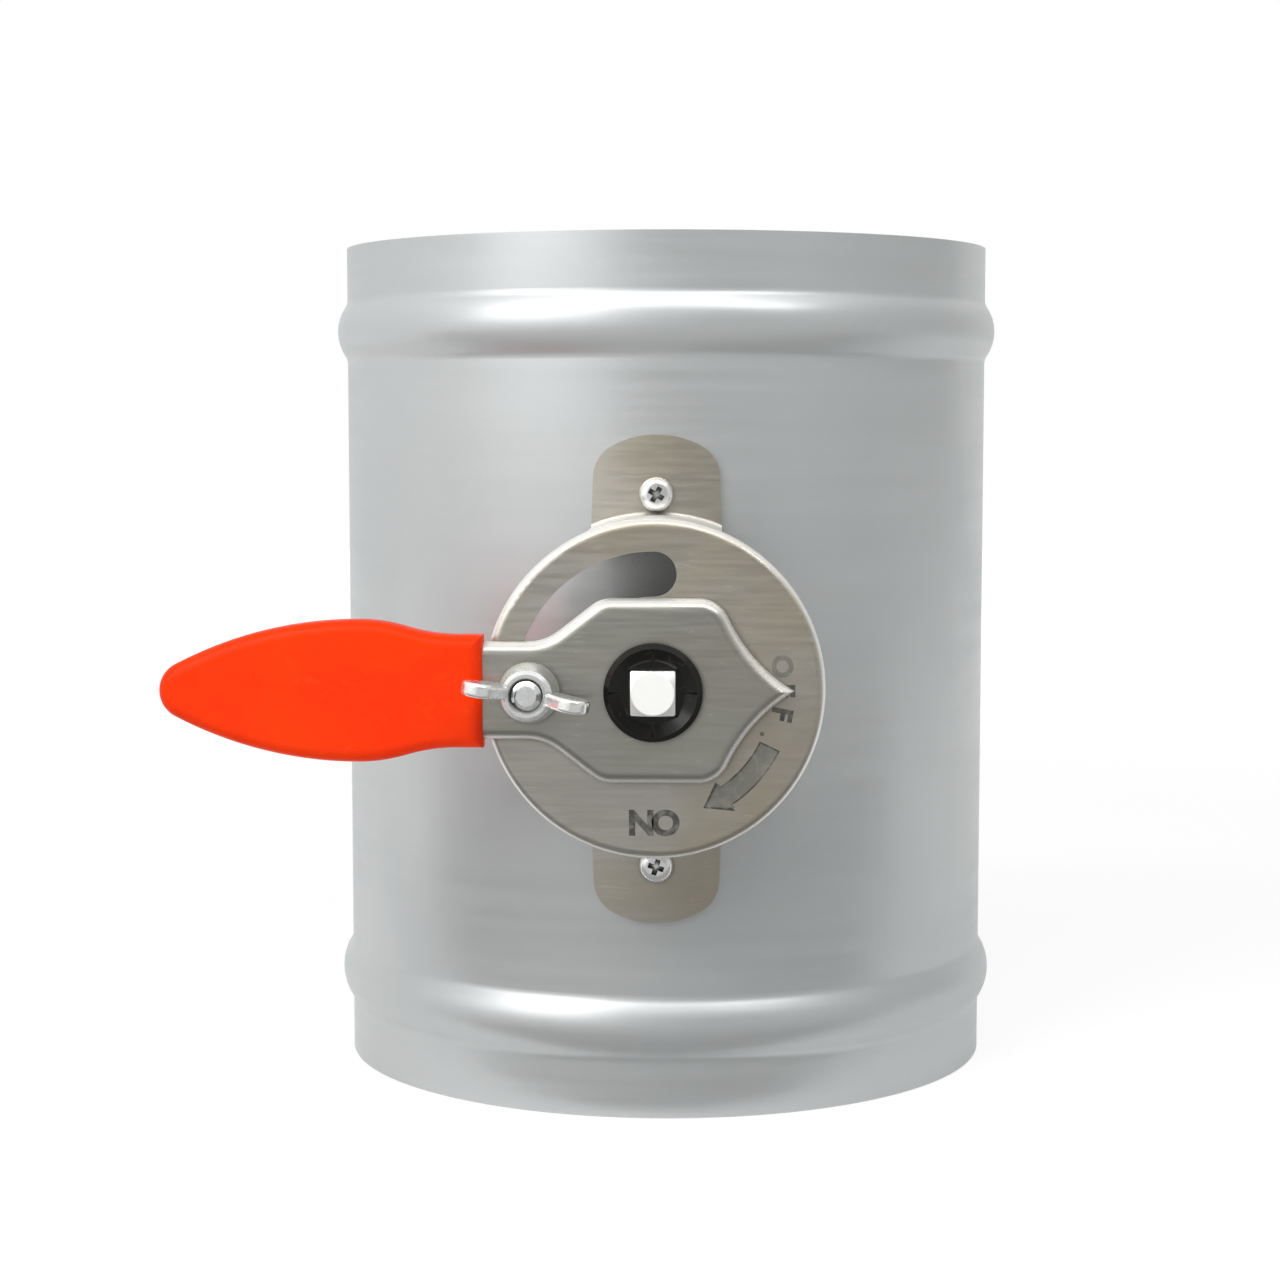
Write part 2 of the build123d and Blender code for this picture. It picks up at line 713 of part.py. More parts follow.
def make_washer(seat, radius):
    """Plain washer on the clamp bolt, from its seat towards the front."""
    with BuildPart() as washer:
        with BuildSketch(bolt_plane(seat)):
            Circle(radius)
            Circle(washer_bore, mode=Mode.SUBTRACT)
        extrude(amount=washer_thickness)
    return washer.part


save(make_washer(bolt_seat, slot_washer_radius), "slot_washer")
save(make_washer(handle_face + fit_play, nut_washer_radius), "nut_washer")

# Wing nut: a coned hub with two rounded wings, its bore countersunk in front
nut_axis = Axis((-bolt_circle, 0, pivot), (0, 1, 0))
nut_section = Plane(
    origin=(-bolt_circle, -nut_seat, pivot),
    x_dir=(cos(radians(nut_turn)), 0, sin(radians(nut_turn))),
    z_dir=(sin(radians(nut_turn)), 0, -cos(radians(nut_turn))),
)
with BuildPart() as nut_wing:
    with BuildSketch(nut_section):
        with Locations((nut_span / 2 - nut_wing_radius, nut_wing_centre)):
            Circle(nut_wing_radius)
        with Locations((nut_wing_root, nut_wing_root + nut_wing_edge)):
            Circle(nut_wing_root)
        make_hull()
    extrude(amount=nut_wing_thickness / 2, both=True)
    fillet(nut_wing.faces().filter_by(Axis((0, 0, 0), nut_section.z_dir)).edges(), nut_wing_edge)

with BuildPart() as wing_nut:
    add(nut_wing.part)
    mirror(about=Plane(origin=nut_section.origin, z_dir=nut_section.x_dir))
    with BuildSketch(nut_section):
        with BuildLine():
            Polyline(
                (0, 0),
                (nut_base_radius, 0),
                (nut_base_radius, nut_wing_edge),
                (nut_top_radius, nut_height - nut_wing_edge),
                (nut_top_radius - nut_wing_edge, nut_height),
                (0, nut_height),
                close=True,
            )
        make_face()
    revolve(axis=nut_axis)
    with BuildSketch(bolt_plane(nut_seat - nut_height)):
        Circle(bolt_radius + running_play)
    extrude(amount=4 * nut_height, mode=Mode.SUBTRACT)
    with BuildSketch(nut_section):
        with BuildLine():
            Polyline(
                (0, nut_height - nut_sink_radius),
                (nut_sink_radius + nut_wing_edge, nut_height + nut_wing_edge),
                (0, nut_height + nut_wing_edge),
                close=True,
            )
        make_face()
    revolve(axis=nut_axis, mode=Mode.SUBTRACT)
save(wing_nut.part, "wing_nut")
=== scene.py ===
"""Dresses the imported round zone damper: its finishes, dial marks, threads, weld, light and camera."""

import logging
from dataclasses import dataclass
from enum import Enum
from math import cos, degrees, pi, radians, sin, tau

import bmesh
import bpy
from bmesh.types import BMEdge, BMesh, BMVert
from mathutils import Matrix, Vector


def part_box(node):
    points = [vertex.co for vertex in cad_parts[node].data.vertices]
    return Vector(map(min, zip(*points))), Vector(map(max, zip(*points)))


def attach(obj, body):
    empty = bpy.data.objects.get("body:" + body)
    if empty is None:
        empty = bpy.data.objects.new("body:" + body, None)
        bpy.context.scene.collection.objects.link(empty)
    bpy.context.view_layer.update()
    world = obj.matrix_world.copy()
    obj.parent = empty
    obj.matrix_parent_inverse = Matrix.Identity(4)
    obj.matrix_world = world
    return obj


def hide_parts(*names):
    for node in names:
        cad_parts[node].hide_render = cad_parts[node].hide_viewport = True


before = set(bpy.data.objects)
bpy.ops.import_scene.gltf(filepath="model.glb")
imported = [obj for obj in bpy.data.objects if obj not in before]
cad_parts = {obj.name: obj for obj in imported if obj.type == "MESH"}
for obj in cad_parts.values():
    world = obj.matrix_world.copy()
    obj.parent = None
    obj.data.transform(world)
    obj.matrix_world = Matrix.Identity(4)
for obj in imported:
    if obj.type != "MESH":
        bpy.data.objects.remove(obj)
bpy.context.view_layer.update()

log = logging.getLogger("round_zone_damper")

MM = 0.001
PIVOT = sum(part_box("square_shaft"), Vector()) / 2 * Vector((1, 0, 1))

MERGE = 0.0005 * MM
SLIVER = 0.0002 * MM
CREASE = radians(30.0)
THREAD_STEPS = 28
THREAD_FOOT = 0.42
THREAD_TOP = 0.07
THREAD_SINK = 0.05 * MM
NOISE_MIDDLE = (0.3, 0.7)
NOISE_SPAN = (0.25, 0.75)
EDGE_SAMPLES = 6
SHADE_SAMPLES = 12

Colour = tuple[float, float, float]
Stretch = tuple[float, float, float]
Span = tuple[float, float]
Socket = bpy.types.NodeSocket
Feed = Socket | tuple | float


def paint(red: float, green: float, blue: float) -> Colour:
    """Turn a colour as seen on screen into the linear one that shaders take.

    Args:
        red: Red from 0 to 255.
        green: Green from 0 to 255.
        blue: Blue from 0 to 255.

    Returns:
        The linear colour, each part from 0 to 1.
    """
    parts = (value / 255 for value in (red, green, blue))
    return tuple(part / 12.92 if part <= 0.04045 else ((part + 0.055) / 1.055) ** 2.4 for part in parts)


class Body(Enum):
    """The bodies that new pieces ride on."""

    HOUSING = "housing"
    LEVER_SET = "lever_set"


class Effect(Enum):
    """Surface effects that the finishes share, each a node group with one mask as its output."""

    GRAIN = "grain"
    CLOUDS = "clouds"
    HAIRLINES = "hairlines"
    SPECKS = "specks"
    WORN_EDGES = "worn_edges"
    CREVICES = "crevices"


class Wiring:
    """Adds, sets and joins the nodes of one material, world or node group."""

    def __init__(self, tree: bpy.types.NodeTree) -> None:
        """Keep the tree that the nodes go into."""
        self.tree = tree

    def add(self, kind: str, **settings: str | int | bool) -> bpy.types.Node:
        """Add a node.

        Args:
            kind: The node's type without its ShaderNode prefix.
            **settings: Node properties to set.

        Returns:
            The new node.
        """
        node = self.tree.nodes.new(kind if kind.startswith("Node") else "ShaderNode" + kind)
        for name, value in settings.items():
            setattr(node, name, value)
        return node

    def put(self, socket: Socket, value: Feed) -> None:
        """Feed a socket.

        Args:
            socket: The input socket.
            value: Another node's output to join, or a plain value to set.
        """
        if isinstance(value, Socket):
            self.tree.links.new(value, socket)
        elif isinstance(value, tuple) and len(socket.default_value) > len(value):
            socket.default_value = (*value, 1.0)
        else:
            socket.default_value = value

    def math(self, operation: str, first: Feed, second: Feed = 0.0, clamp: bool = False) -> Socket:
        """Join two numbers by a sum.

        Args:
            operation: The Math node's operation.
            first: First number or output.
            second: Second number or output.
            clamp: Whether the result is kept from 0 to 1.

        Returns:
            The result's output.
        """
        node = self.add("Math", operation=operation, use_clamp=clamp)
        self.put(node.inputs[0], first)
        self.put(node.inputs[1], second)
        return node.outputs[0]

    def share(self, mask: Feed, part: Feed) -> Socket:
        """Take a part of a mask."""
        return self.math("MULTIPLY", mask, part)

    def plus(self, value: Feed, mask: Feed, part: float, clamp: bool = False) -> Socket:
        """Add a part of a mask to a value."""
        return self.math("ADD", value, self.share(mask, part), clamp)

    def remap(self, value: Feed, low: Feed, high: Feed, start: float = 0.0, end: float = 1.0) -> Socket:
        """Spread a value smoothly from one range to another.

        Args:
            value: The output to spread.
            low: Where the range starts.
            high: Where the range ends.
            start: The result at its start.
            end: The result at its end.

        Returns:
            The result's output.
        """
        node = self.add("MapRange", interpolation_type="SMOOTHSTEP")
        for socket, given in zip(node.inputs, (value, low, high, start, end)):
            self.put(socket, given)
        return node.outputs[0]

    def blend(self, mask: Feed, first: Feed, second: Feed) -> Socket:
        """Mix two colours by a mask.

        Args:
            mask: The mask's output, or one share.
            first: Colour where the mask is 0.
            second: Colour where the mask is 1.

        Returns:
            The mixed colour's output.
        """
        node = self.add("Mix", data_type="RGBA", blend_type="MIX")
        self.put(node.inputs["Factor"], mask)
        self.put(node.inputs[6], first)
        self.put(node.inputs[7], second)
        return node.outputs[2]

    def tint(self, mask: Feed, part: float, colour: Feed, over: Colour) -> Socket:
        """Lay a colour over another by a part of a mask."""
        return self.blend(self.share(mask, part), colour, over)

    def place(self) -> Socket:
        """Give the object coordinates."""
        return self.add("TexCoord").outputs["Object"]

    def along(self, vector: Socket, axis: str) -> Socket:
        """Give one part of a vector.

        Args:
            vector: The vector's output.
            axis: The part's letter.

        Returns:
            The part's output.
        """
        parts = self.add("SeparateXYZ")
        self.put(parts.inputs[0], vector)
        return parts.outputs[axis]

    def stretched(self, stretch: Feed) -> Socket:
        """Give object coordinates times a stretch along each axis.

        Args:
            stretch: Features in a metre along X, Y and Z, or an output with them.

        Returns:
            The stretched coordinates' output.
        """
        node = self.add("VectorMath", operation="MULTIPLY")
        self.put(node.inputs[0], self.place())
        self.put(node.inputs[1], stretch)
        return node.outputs[0]

    def noise(self, place: Socket, detail: float, distortion: float = 0.0, scale: Feed = 1.0) -> Socket:
        """Make soft noise at a place.

        Args:
            place: The coordinates' output.
            detail: How many finer layers it has.
            distortion: How far it is bent.
            scale: Features in one unit of the coordinates.

        Returns:
            The noise's output, from 0 to 1.
        """
        node = self.add("TexNoise")
        given = {"Vector": place, "Scale": scale, "Detail": detail, "Distortion": distortion}
        for name, value in given.items():
            self.put(node.inputs[name], value)
        return node.outputs[0]

    def effect(self, effect: Effect, *values: Feed) -> Socket:
        """Place a shared effect.

        Args:
            effect: Which one.
            *values: What its inputs take, in order.

        Returns:
            Its mask's output.
        """
        node = self.add("Group")
        node.node_tree = effect_group(effect)
        for socket, value in zip(node.inputs, values):
            self.put(socket, value)
        return node.outputs[0]

    def bump(self, height: Socket, distance: float, normal: Socket | None = None) -> Socket:
        """Turn a height into a normal.

        Args:
            height: The height's output, from 0 to 1.
            distance: Metres that a height of 1 stands for.
            normal: A normal's output to build on.

        Returns:
            The normal's output.
        """
        node = self.add("Bump")
        self.put(node.inputs["Height"], height)
        self.put(node.inputs["Distance"], distance)
        self.put(node.inputs["Strength"], 1.0)
        if normal is not None:
            self.put(node.inputs["Normal"], normal)
        return node.outputs[0]


def effect_group(effect: Effect) -> bpy.types.NodeTree:
    """Make the node group of a shared effect, or find it once it is made.

    Args:
        effect: Which effect.

    Returns:
        Its node group.
    """
    made = bpy.data.node_groups.get(effect.value)
    if made:
        return made
    tree = bpy.data.node_groups.new(effect.value, "ShaderNodeTree")
    make_mask, *names = EFFECT_RECIPES[effect]
    for name in names:
        kind = "NodeSocketVector" if name == "Stretch" else "NodeSocketFloat"
        tree.interface.new_socket(name, in_out="INPUT", socket_type=kind)
    tree.interface.new_socket("Mask", in_out="OUTPUT", socket_type="NodeSocketFloat")
    wiring = Wiring(tree)
    mask = make_mask(wiring, *wiring.add("NodeGroupInput").outputs[:len(names)])
    wiring.put(wiring.add("NodeGroupOutput").inputs[0], mask)
    return tree


def grain_mask(wiring: Wiring, stretch: Socket) -> Socket:
    """Make streaks or grain, as fine along each axis as the stretch says."""
    return wiring.noise(wiring.stretched(stretch), detail=4.0)


def clouds_mask(wiring: Wiring, size: Socket, low: Socket, high: Socket) -> Socket:
    """Make soft patches of a size in a metre, from none at the low value to full at the high one."""
    return wiring.remap(wiring.noise(wiring.place(), detail=5.0, distortion=0.6, scale=size), low, high)


def hairlines_mask(wiring: Wiring, stretch: Socket, width: Socket) -> Socket:
    """Make thin scratches where a stretched noise crosses its middle, broken up by patches.

    Args:
        wiring: The group's nodes.
        stretch: The noise's features in a metre along each axis.
        width: How far off its middle a line reaches.

    Returns:
        The mask's output.
    """
    noise = wiring.noise(wiring.stretched(stretch), detail=1.0, distortion=0.3)
    off = wiring.math("ABSOLUTE", wiring.math("SUBTRACT", noise, 0.5))
    line = wiring.remap(off, 0.0, width, 1.0, 0.0)
    patch = wiring.remap(wiring.noise(wiring.place(), detail=2.0, scale=130.0), 0.52, 0.62)
    return wiring.share(line, patch)


def specks_mask(wiring: Wiring, size: Socket, radius: Socket) -> Socket:
    """Make small scattered dots.

    Args:
        wiring: The group's nodes.
        size: Cells in a metre.
        radius: A dot's radius as a share of its cell.

    Returns:
        The mask's output.
    """
    cells = wiring.add("TexVoronoi")
    wiring.put(cells.inputs["Vector"], wiring.place())
    wiring.put(cells.inputs["Scale"], size)
    dot = wiring.remap(cells.outputs["Distance"], 0.0, radius, 1.0, 0.0)
    parts = wiring.add("SeparateColor")
    wiring.put(parts.inputs[0], cells.outputs["Color"])
    return wiring.share(dot, wiring.math("GREATER_THAN", parts.outputs[0], 0.6))


def worn_edges_mask(wiring: Wiring, radius: Socket, gain: Socket) -> Socket:
    """Find sharp outer edges, where a rounded normal leaves the true one.

    Args:
        wiring: The group's nodes.
        radius: How far from an edge the normal is rounded.
        gain: How fast the mask fills.

    Returns:
        The mask's output.
    """
    rounded = wiring.add("Bevel", samples=EDGE_SAMPLES)
    wiring.put(rounded.inputs["Radius"], radius)
    across = wiring.add("VectorMath", operation="DOT_PRODUCT")
    wiring.put(across.inputs[0], rounded.outputs[0])
    wiring.put(across.inputs[1], wiring.add("NewGeometry").outputs["Normal"])
    edge = wiring.math("SUBTRACT", 1.0, across.outputs["Value"])
    uneven = wiring.remap(wiring.noise(wiring.place(), detail=3.0, scale=420.0), *NOISE_MIDDLE, 0.5, 1.0)
    return wiring.share(wiring.math("MULTIPLY", edge, gain, clamp=True), uneven)


def crevices_mask(wiring: Wiring, reach: Socket, low: Socket, high: Socket) -> Socket:
    """Find corners and gaps that little light reaches.

    Args:
        wiring: The group's nodes.
        reach: How far off a wall still shades.
        low: Share of light at which the mask is full.
        high: Share of light at which it is empty.

    Returns:
        The mask's output.
    """
    shade = wiring.add("AmbientOcclusion", samples=SHADE_SAMPLES)
    wiring.put(shade.inputs["Distance"], reach)
    return wiring.remap(shade.outputs["AO"], low, high, 1.0, 0.0)


EFFECT_RECIPES = {
    Effect.GRAIN: (grain_mask, "Stretch"),
    Effect.CLOUDS: (clouds_mask, "Size", "Low", "High"),
    Effect.HAIRLINES: (hairlines_mask, "Stretch", "Width"),
    Effect.SPECKS: (specks_mask, "Size", "Radius"),
    Effect.WORN_EDGES: (worn_edges_mask, "Radius", "Gain"),
    Effect.CREVICES: (crevices_mask, "Reach", "Low", "High"),
}


def node_material(name: str) -> bpy.types.Material:
    """Make a material with nodes.

    Args:
        name: Its name.

    Returns:
        The material.
    """
    made = bpy.data.materials.new(name)
    made.use_nodes = True
    return made


@dataclass(frozen=True)
class Finish:
    """What every finish has: a name, a colour and the plain values of its shader."""

    name: str
    colour: Colour
    metallic: float = 0.0
    roughness: float = 0.5
    specular: float = 0.5

    def material(self) -> bpy.types.Material:
        """Make the finish's material, or find it once it is made.

        Returns:
            The material.
        """
        name = f"{self.name}_finish"
        made = bpy.data.materials.get(name)
        if made:
            return made
        made = node_material(name)
        made.diffuse_color = (*self.colour, 1.0)
        shader = made.node_tree.nodes["Principled BSDF"]
        shader.inputs["Metallic"].default_value = self.metallic
        shader.inputs["Specular IOR Level"].default_value = self.specular
        self.dress(Wiring(made.node_tree), shader)
        return made

    def uneven(self, wiring: Wiring, grain: Socket, spread: float) -> Socket:
        """Vary the roughness with the grain, by a spread each way."""
        return wiring.remap(grain, *NOISE_SPAN, self.roughness - spread, self.roughness + spread)

    def dress(self, wiring: Wiring, shader: bpy.types.Node) -> None:
        """Join the finish's detail to its shader.

        Args:
            wiring: The material's nodes.
            shader: Its Principled shader.
        """
        raise NotImplementedError


@dataclass(frozen=True)
class Metal(Finish):
    """Bare or plated metal: grain, clouds, hairline scratches, bright edges, a painted highlight on rims and
    bends, and dirt and painted shade in its corners.
    """

    grain: Stretch = (900.0, 900.0, 900.0)
    grain_shade: float = 0.12
    grain_depth: float = 0.01 * MM
    grain_gloss: float = 0.05
    cloud_colour: Colour = (0.5, 0.5, 0.5)
    cloud_size: float = 40.0
    cloud_share: float = 0.3
    cloud_span: Span = (0.38, 0.66)
    cloud_dulling: float = 0.07
    stain_colour: Colour = (0.3, 0.25, 0.18)
    stain_share: float = 0.0
    stain_size: float = 0.45
    stain_span: Span = (0.54, 0.72)
    scratches: Stretch = (60.0, 60.0, 900.0)
    scratch_share: float = 0.25
    scratch_width: float = 0.02
    scratch_depth: float = 0.01 * MM
    edge_colour: Colour = (0.85, 0.85, 0.85)
    edge_share: float = 0.6
    edge_radius: float = 0.35 * MM
    edge_gain: float = 9.0
    edge_polish: float = -0.08
    shade_and_dirt_colour: Colour = (0.1, 0.095, 0.085)
    shade_and_dirt_share: float = 0.3
    shade_and_dirt_reach: float = 3.0 * MM
    shade_and_dirt_range: Span = (0.35, 0.85)
    dirt_dulling: float = 0.25
    rim_highlight_colour: Colour = (0.9, 0.89, 0.86)
    rim_highlight_share: float = 0.0
    rim_highlight_metallic: float = 0.5
    rim_highlight_span: Span = (0.6, 0.94)
    wave_depth: float = 0.0
    waves: Stretch = (14.0, 14.0, 9.0)

    def facing(self, wiring: Wiring) -> Socket:
        """Find how squarely a face looks along the shaft, from 0 to 1."""
        return wiring.math("ABSOLUTE", wiring.along(wiring.add("NewGeometry").outputs["Normal"], "Y"))

    def dress(self, wiring: Wiring, shader: bpy.types.Node) -> None:
        """Join grain, clouds, stains, painted rim highlights, scratches, edges, and dirt with painted shade
        to the shader.

        Args:
            wiring: The material's nodes.
            shader: Its Principled shader.
        """
        grain = wiring.effect(Effect.GRAIN, self.grain)
        clouds = wiring.effect(Effect.CLOUDS, self.cloud_size, *self.cloud_span)
        scratches = wiring.effect(Effect.HAIRLINES, self.scratches, self.scratch_width)
        edges = wiring.effect(Effect.WORN_EDGES, self.edge_radius, self.edge_gain)
        shade_and_dirt = wiring.effect(Effect.CREVICES, self.shade_and_dirt_reach, *self.shade_and_dirt_range)

        dark, light = (
            tuple(min(1.0, part * gain) for part in self.colour)
            for gain in (1.0 - self.grain_shade, 1.0 + self.grain_shade)
        )
        colour = wiring.blend(wiring.remap(grain, *NOISE_MIDDLE), dark, light)
        colour = wiring.tint(clouds, self.cloud_share, colour, self.cloud_colour)
        if self.stain_share:
            stains = wiring.effect(Effect.CLOUDS, self.cloud_size * self.stain_size, *self.stain_span)
            colour = wiring.tint(stains, self.stain_share, colour, self.stain_colour)
        # Painted highlight: faces that do not look along the shaft, such as rims, bends and leg walls, get a
        # lighter, less metallic colour, so they show bright as if lit from above.
        if self.rim_highlight_share:
            rim_highlight = wiring.remap(self.facing(wiring), *self.rim_highlight_span, self.rim_highlight_share, 0.0)
            colour = wiring.blend(rim_highlight, colour, self.rim_highlight_colour)
            metal = wiring.remap(rim_highlight, 0.0, self.rim_highlight_share, self.metallic, self.rim_highlight_metallic)
            wiring.put(shader.inputs["Metallic"], metal)
        lines = wiring.share(scratches, self.scratch_share)
        colour = wiring.blend(lines, colour, self.edge_colour)
        colour = wiring.tint(edges, self.edge_share, colour, self.edge_colour)
        # Painted shade and dirt: corners and gaps that ambient occlusion finds are darkened towards this
        # colour.
        colour = wiring.tint(shade_and_dirt, self.shade_and_dirt_share, colour, self.shade_and_dirt_colour)
        wiring.put(shader.inputs["Base Color"], colour)

        rough = wiring.plus(self.uneven(wiring, grain, self.grain_gloss), clouds, self.cloud_dulling)
        rough = wiring.plus(rough, shade_and_dirt, self.dirt_dulling)
        wiring.put(shader.inputs["Roughness"], wiring.plus(rough, edges, self.edge_polish, clamp=True))

        normal = wiring.bump(grain, self.grain_depth)
        normal = wiring.bump(wiring.math("SUBTRACT", 1.0, lines), self.scratch_depth, normal)
        if self.wave_depth:
            waves = wiring.noise(wiring.stretched(self.waves), detail=1.0)
            normal = wiring.bump(waves, self.wave_depth, normal)
        wiring.put(shader.inputs["Normal"], normal)


@dataclass(frozen=True)
class TurnedBar(Metal):
    """Drawn bar with a turned end: rings round the shaft's axis where it was cut, and a near-white painted
    highlight on that end.
    """

    ring_pitch: float = 0.25 * MM
    ring_depth: float = 0.004 * MM
    end_highlight_colour: Colour = (0.97, 0.97, 0.94)
    end_highlight_metallic: float = 0.05
    end_span: Span = (0.8, 0.95)

    def dress(self, wiring: Wiring, shader: bpy.types.Node) -> None:
        """Join the metal's detail, and the rings and the painted highlight of the turned end.

        Args:
            wiring: The material's nodes.
            shader: Its Principled shader.
        """
        super().dress(wiring, shader)
        colour, normal = (shader.inputs[name].links[0].from_socket for name in ("Base Color", "Normal"))
        place = wiring.place()
        across = wiring.math("POWER", wiring.along(place, "X"), 2.0)
        upright = wiring.math("POWER", wiring.math("SUBTRACT", wiring.along(place, "Z"), PIVOT.z), 2.0)
        radius = wiring.math("SQRT", wiring.math("ADD", across, upright))
        rings = wiring.math("SINE", wiring.share(radius, tau / self.ring_pitch))
        at_end = wiring.remap(self.facing(wiring), *self.end_span)
        # Painted highlight: the end face turns near-white and almost non-metallic, so it shows bright.
        wiring.put(shader.inputs["Base Color"], wiring.blend(at_end, colour, self.end_highlight_colour))
        metal = wiring.remap(at_end, 0.0, 1.0, self.metallic, self.end_highlight_metallic)
        wiring.put(shader.inputs["Metallic"], metal)
        height = wiring.share(wiring.math("MULTIPLY_ADD", rings, 0.5), at_end)
        wiring.put(shader.inputs["Normal"], wiring.bump(height, self.ring_depth, normal))


@dataclass(frozen=True)
class Moulding(Finish):
    """Moulded plastic, vinyl or rubber: fine texture, mottling, scuffs, rubbed edges, and dust and painted
    shade in its corners.
    """

    texture_size: float = 2600.0
    texture_depth: float = 0.012 * MM
    texture_gloss: float = 0.04
    mottle_colour: Colour = (0.05, 0.05, 0.05)
    mottle_size: float = 55.0
    mottle_share: float = 0.25
    mottle_span: Span = (0.36, 0.7)
    mottle_dulling: float = 0.06
    scuffs: Stretch = (90.0, 700.0, 240.0)
    scuff_colour: Colour = (0.2, 0.2, 0.2)
    scuff_share: float = 0.2
    scuff_width: float = 0.02
    scuff_depth: float = -0.008 * MM
    rub_colour: Colour = (0.12, 0.12, 0.12)
    rub_share: float = 0.35
    rub_radius: float = 0.4 * MM
    rub_gain: float = 7.0
    dust_and_shade_colour: Colour = (0.3, 0.29, 0.27)
    dust_and_shade_share: float = 0.12
    dust_and_shade_reach: float = 2.5 * MM
    dust_and_shade_range: Span = (0.35, 0.85)
    dust_dulling: float = 0.3
    specks: Span = (750.0, 0.16)
    speck_share: float = 0.7

    def dress(self, wiring: Wiring, shader: bpy.types.Node) -> None:
        """Join texture, mottling, scuffs, rubbed edges, and dust with painted corner shade to the shader.

        Args:
            wiring: The material's nodes.
            shader: Its Principled shader.
        """
        texture = wiring.effect(Effect.GRAIN, (self.texture_size,) * 3)
        mottle = wiring.effect(Effect.CLOUDS, self.mottle_size, *self.mottle_span)
        scuffs = wiring.effect(Effect.HAIRLINES, self.scuffs, self.scuff_width)
        rubbed = wiring.effect(Effect.WORN_EDGES, self.rub_radius, self.rub_gain)
        corner_shade_and_dust = wiring.effect(Effect.CREVICES, self.dust_and_shade_reach, *self.dust_and_shade_range)
        specks = wiring.share(wiring.effect(Effect.SPECKS, *self.specks), self.speck_share)
        dust_and_shade = wiring.math("MAXIMUM", corner_shade_and_dust, specks)

        colour = wiring.tint(mottle, self.mottle_share, self.colour, self.mottle_colour)
        colour = wiring.tint(scuffs, self.scuff_share, colour, self.scuff_colour)
        colour = wiring.tint(rubbed, self.rub_share, colour, self.rub_colour)
        # Dust and painted shade: specks and the corners that ambient occlusion finds take this colour. It is
        # darker than the orange and pale parts, as painted shade, and lighter than the black ones, as dust.
        colour = wiring.tint(dust_and_shade, self.dust_and_shade_share, colour, self.dust_and_shade_colour)
        wiring.put(shader.inputs["Base Color"], colour)

        rough = wiring.plus(self.uneven(wiring, texture, self.texture_gloss), mottle, self.mottle_dulling)
        wiring.put(shader.inputs["Roughness"], wiring.plus(rough, dust_and_shade, self.dust_dulling, clamp=True))
        normal = wiring.bump(texture, self.texture_depth)
        wiring.put(shader.inputs["Normal"], wiring.bump(scuffs, self.scuff_depth, normal))


@dataclass(frozen=True)
class Ink(Finish):
    """Printed ink that has rubbed thin in patches, so that the metal tints it."""

    metal_colour: Colour = (0.3, 0.29, 0.26)
    thin_share: float = 0.5
    patch_size: float = 420.0
    patch_span: Span = (0.4, 0.7)
    patch_polish: float = 0.12
    patch_depth: float = -0.01 * MM
    specks: Span = (2400.0, 0.3)

    def dress(self, wiring: Wiring, shader: bpy.types.Node) -> None:
        """Join the thin patches to the shader.

        Args:
            wiring: The material's nodes.
            shader: Its Principled shader.
        """
        patches = wiring.effect(Effect.CLOUDS, self.patch_size, *self.patch_span)
        specks = wiring.effect(Effect.SPECKS, *self.specks)
        thin = wiring.math("MAXIMUM", patches, specks)
        colour = wiring.tint(thin, self.thin_share, self.colour, self.metal_colour)
        rough = wiring.remap(patches, 0.0, 1.0, self.roughness, self.roughness - self.patch_polish)
        wiring.put(shader.inputs["Base Color"], colour)
        wiring.put(shader.inputs["Roughness"], rough)
        wiring.put(shader.inputs["Normal"], wiring.bump(patches, self.patch_depth))


DUCT_STEEL = Metal(
    "duct_steel",
    paint(192, 195, 195),
    metallic=0.55,
    roughness=0.37,
    grain=(9.0, 9.0, 260.0),
    grain_shade=0.012,
    grain_depth=0.0008 * MM,
    cloud_colour=paint(186, 190, 191),
    cloud_size=16.0,
    cloud_share=0.5,
    scratches=(25.0, 25.0, 260.0),
    scratch_share=0.06,
    edge_colour=paint(225, 226, 226),
    # Painted shade: a 45 mm ambient-occlusion reach darkens the sleeve round and behind the dial and handle,
    # as the shadow they cast.
    shade_and_dirt_colour=paint(66, 67, 66),
    shade_and_dirt_share=0.85,
    shade_and_dirt_reach=45.0 * MM,
    shade_and_dirt_range=(0.1, 0.5),
    wave_depth=0.1 * MM,
)
WELD_STEEL = Metal(
    "weld_steel",
    paint(176, 177, 174),
    metallic=0.6,
    roughness=0.42,
    grain=(500.0, 500.0, 500.0),
    grain_shade=0.08,
    grain_depth=0.01 * MM,
    cloud_colour=paint(150, 148, 142),
    cloud_size=120.0,
    cloud_share=0.6,
    stain_colour=paint(140, 128, 110),
    stain_share=0.3,
    shade_and_dirt_colour=paint(100, 98, 92),
    shade_and_dirt_reach=2.0 * MM,
)
BLADE_STEEL = Metal(
    "blade_steel",
    paint(198, 202, 202),
    metallic=0.8,
    roughness=0.4,
    grain=(420.0, 7.0, 420.0),
    grain_shade=0.05,
    cloud_colour=paint(176, 180, 182),
    cloud_size=24.0,
    cloud_share=0.5,
    scratch_share=0.12,
    shade_and_dirt_colour=paint(110, 108, 102),
    shade_and_dirt_share=0.35,
)
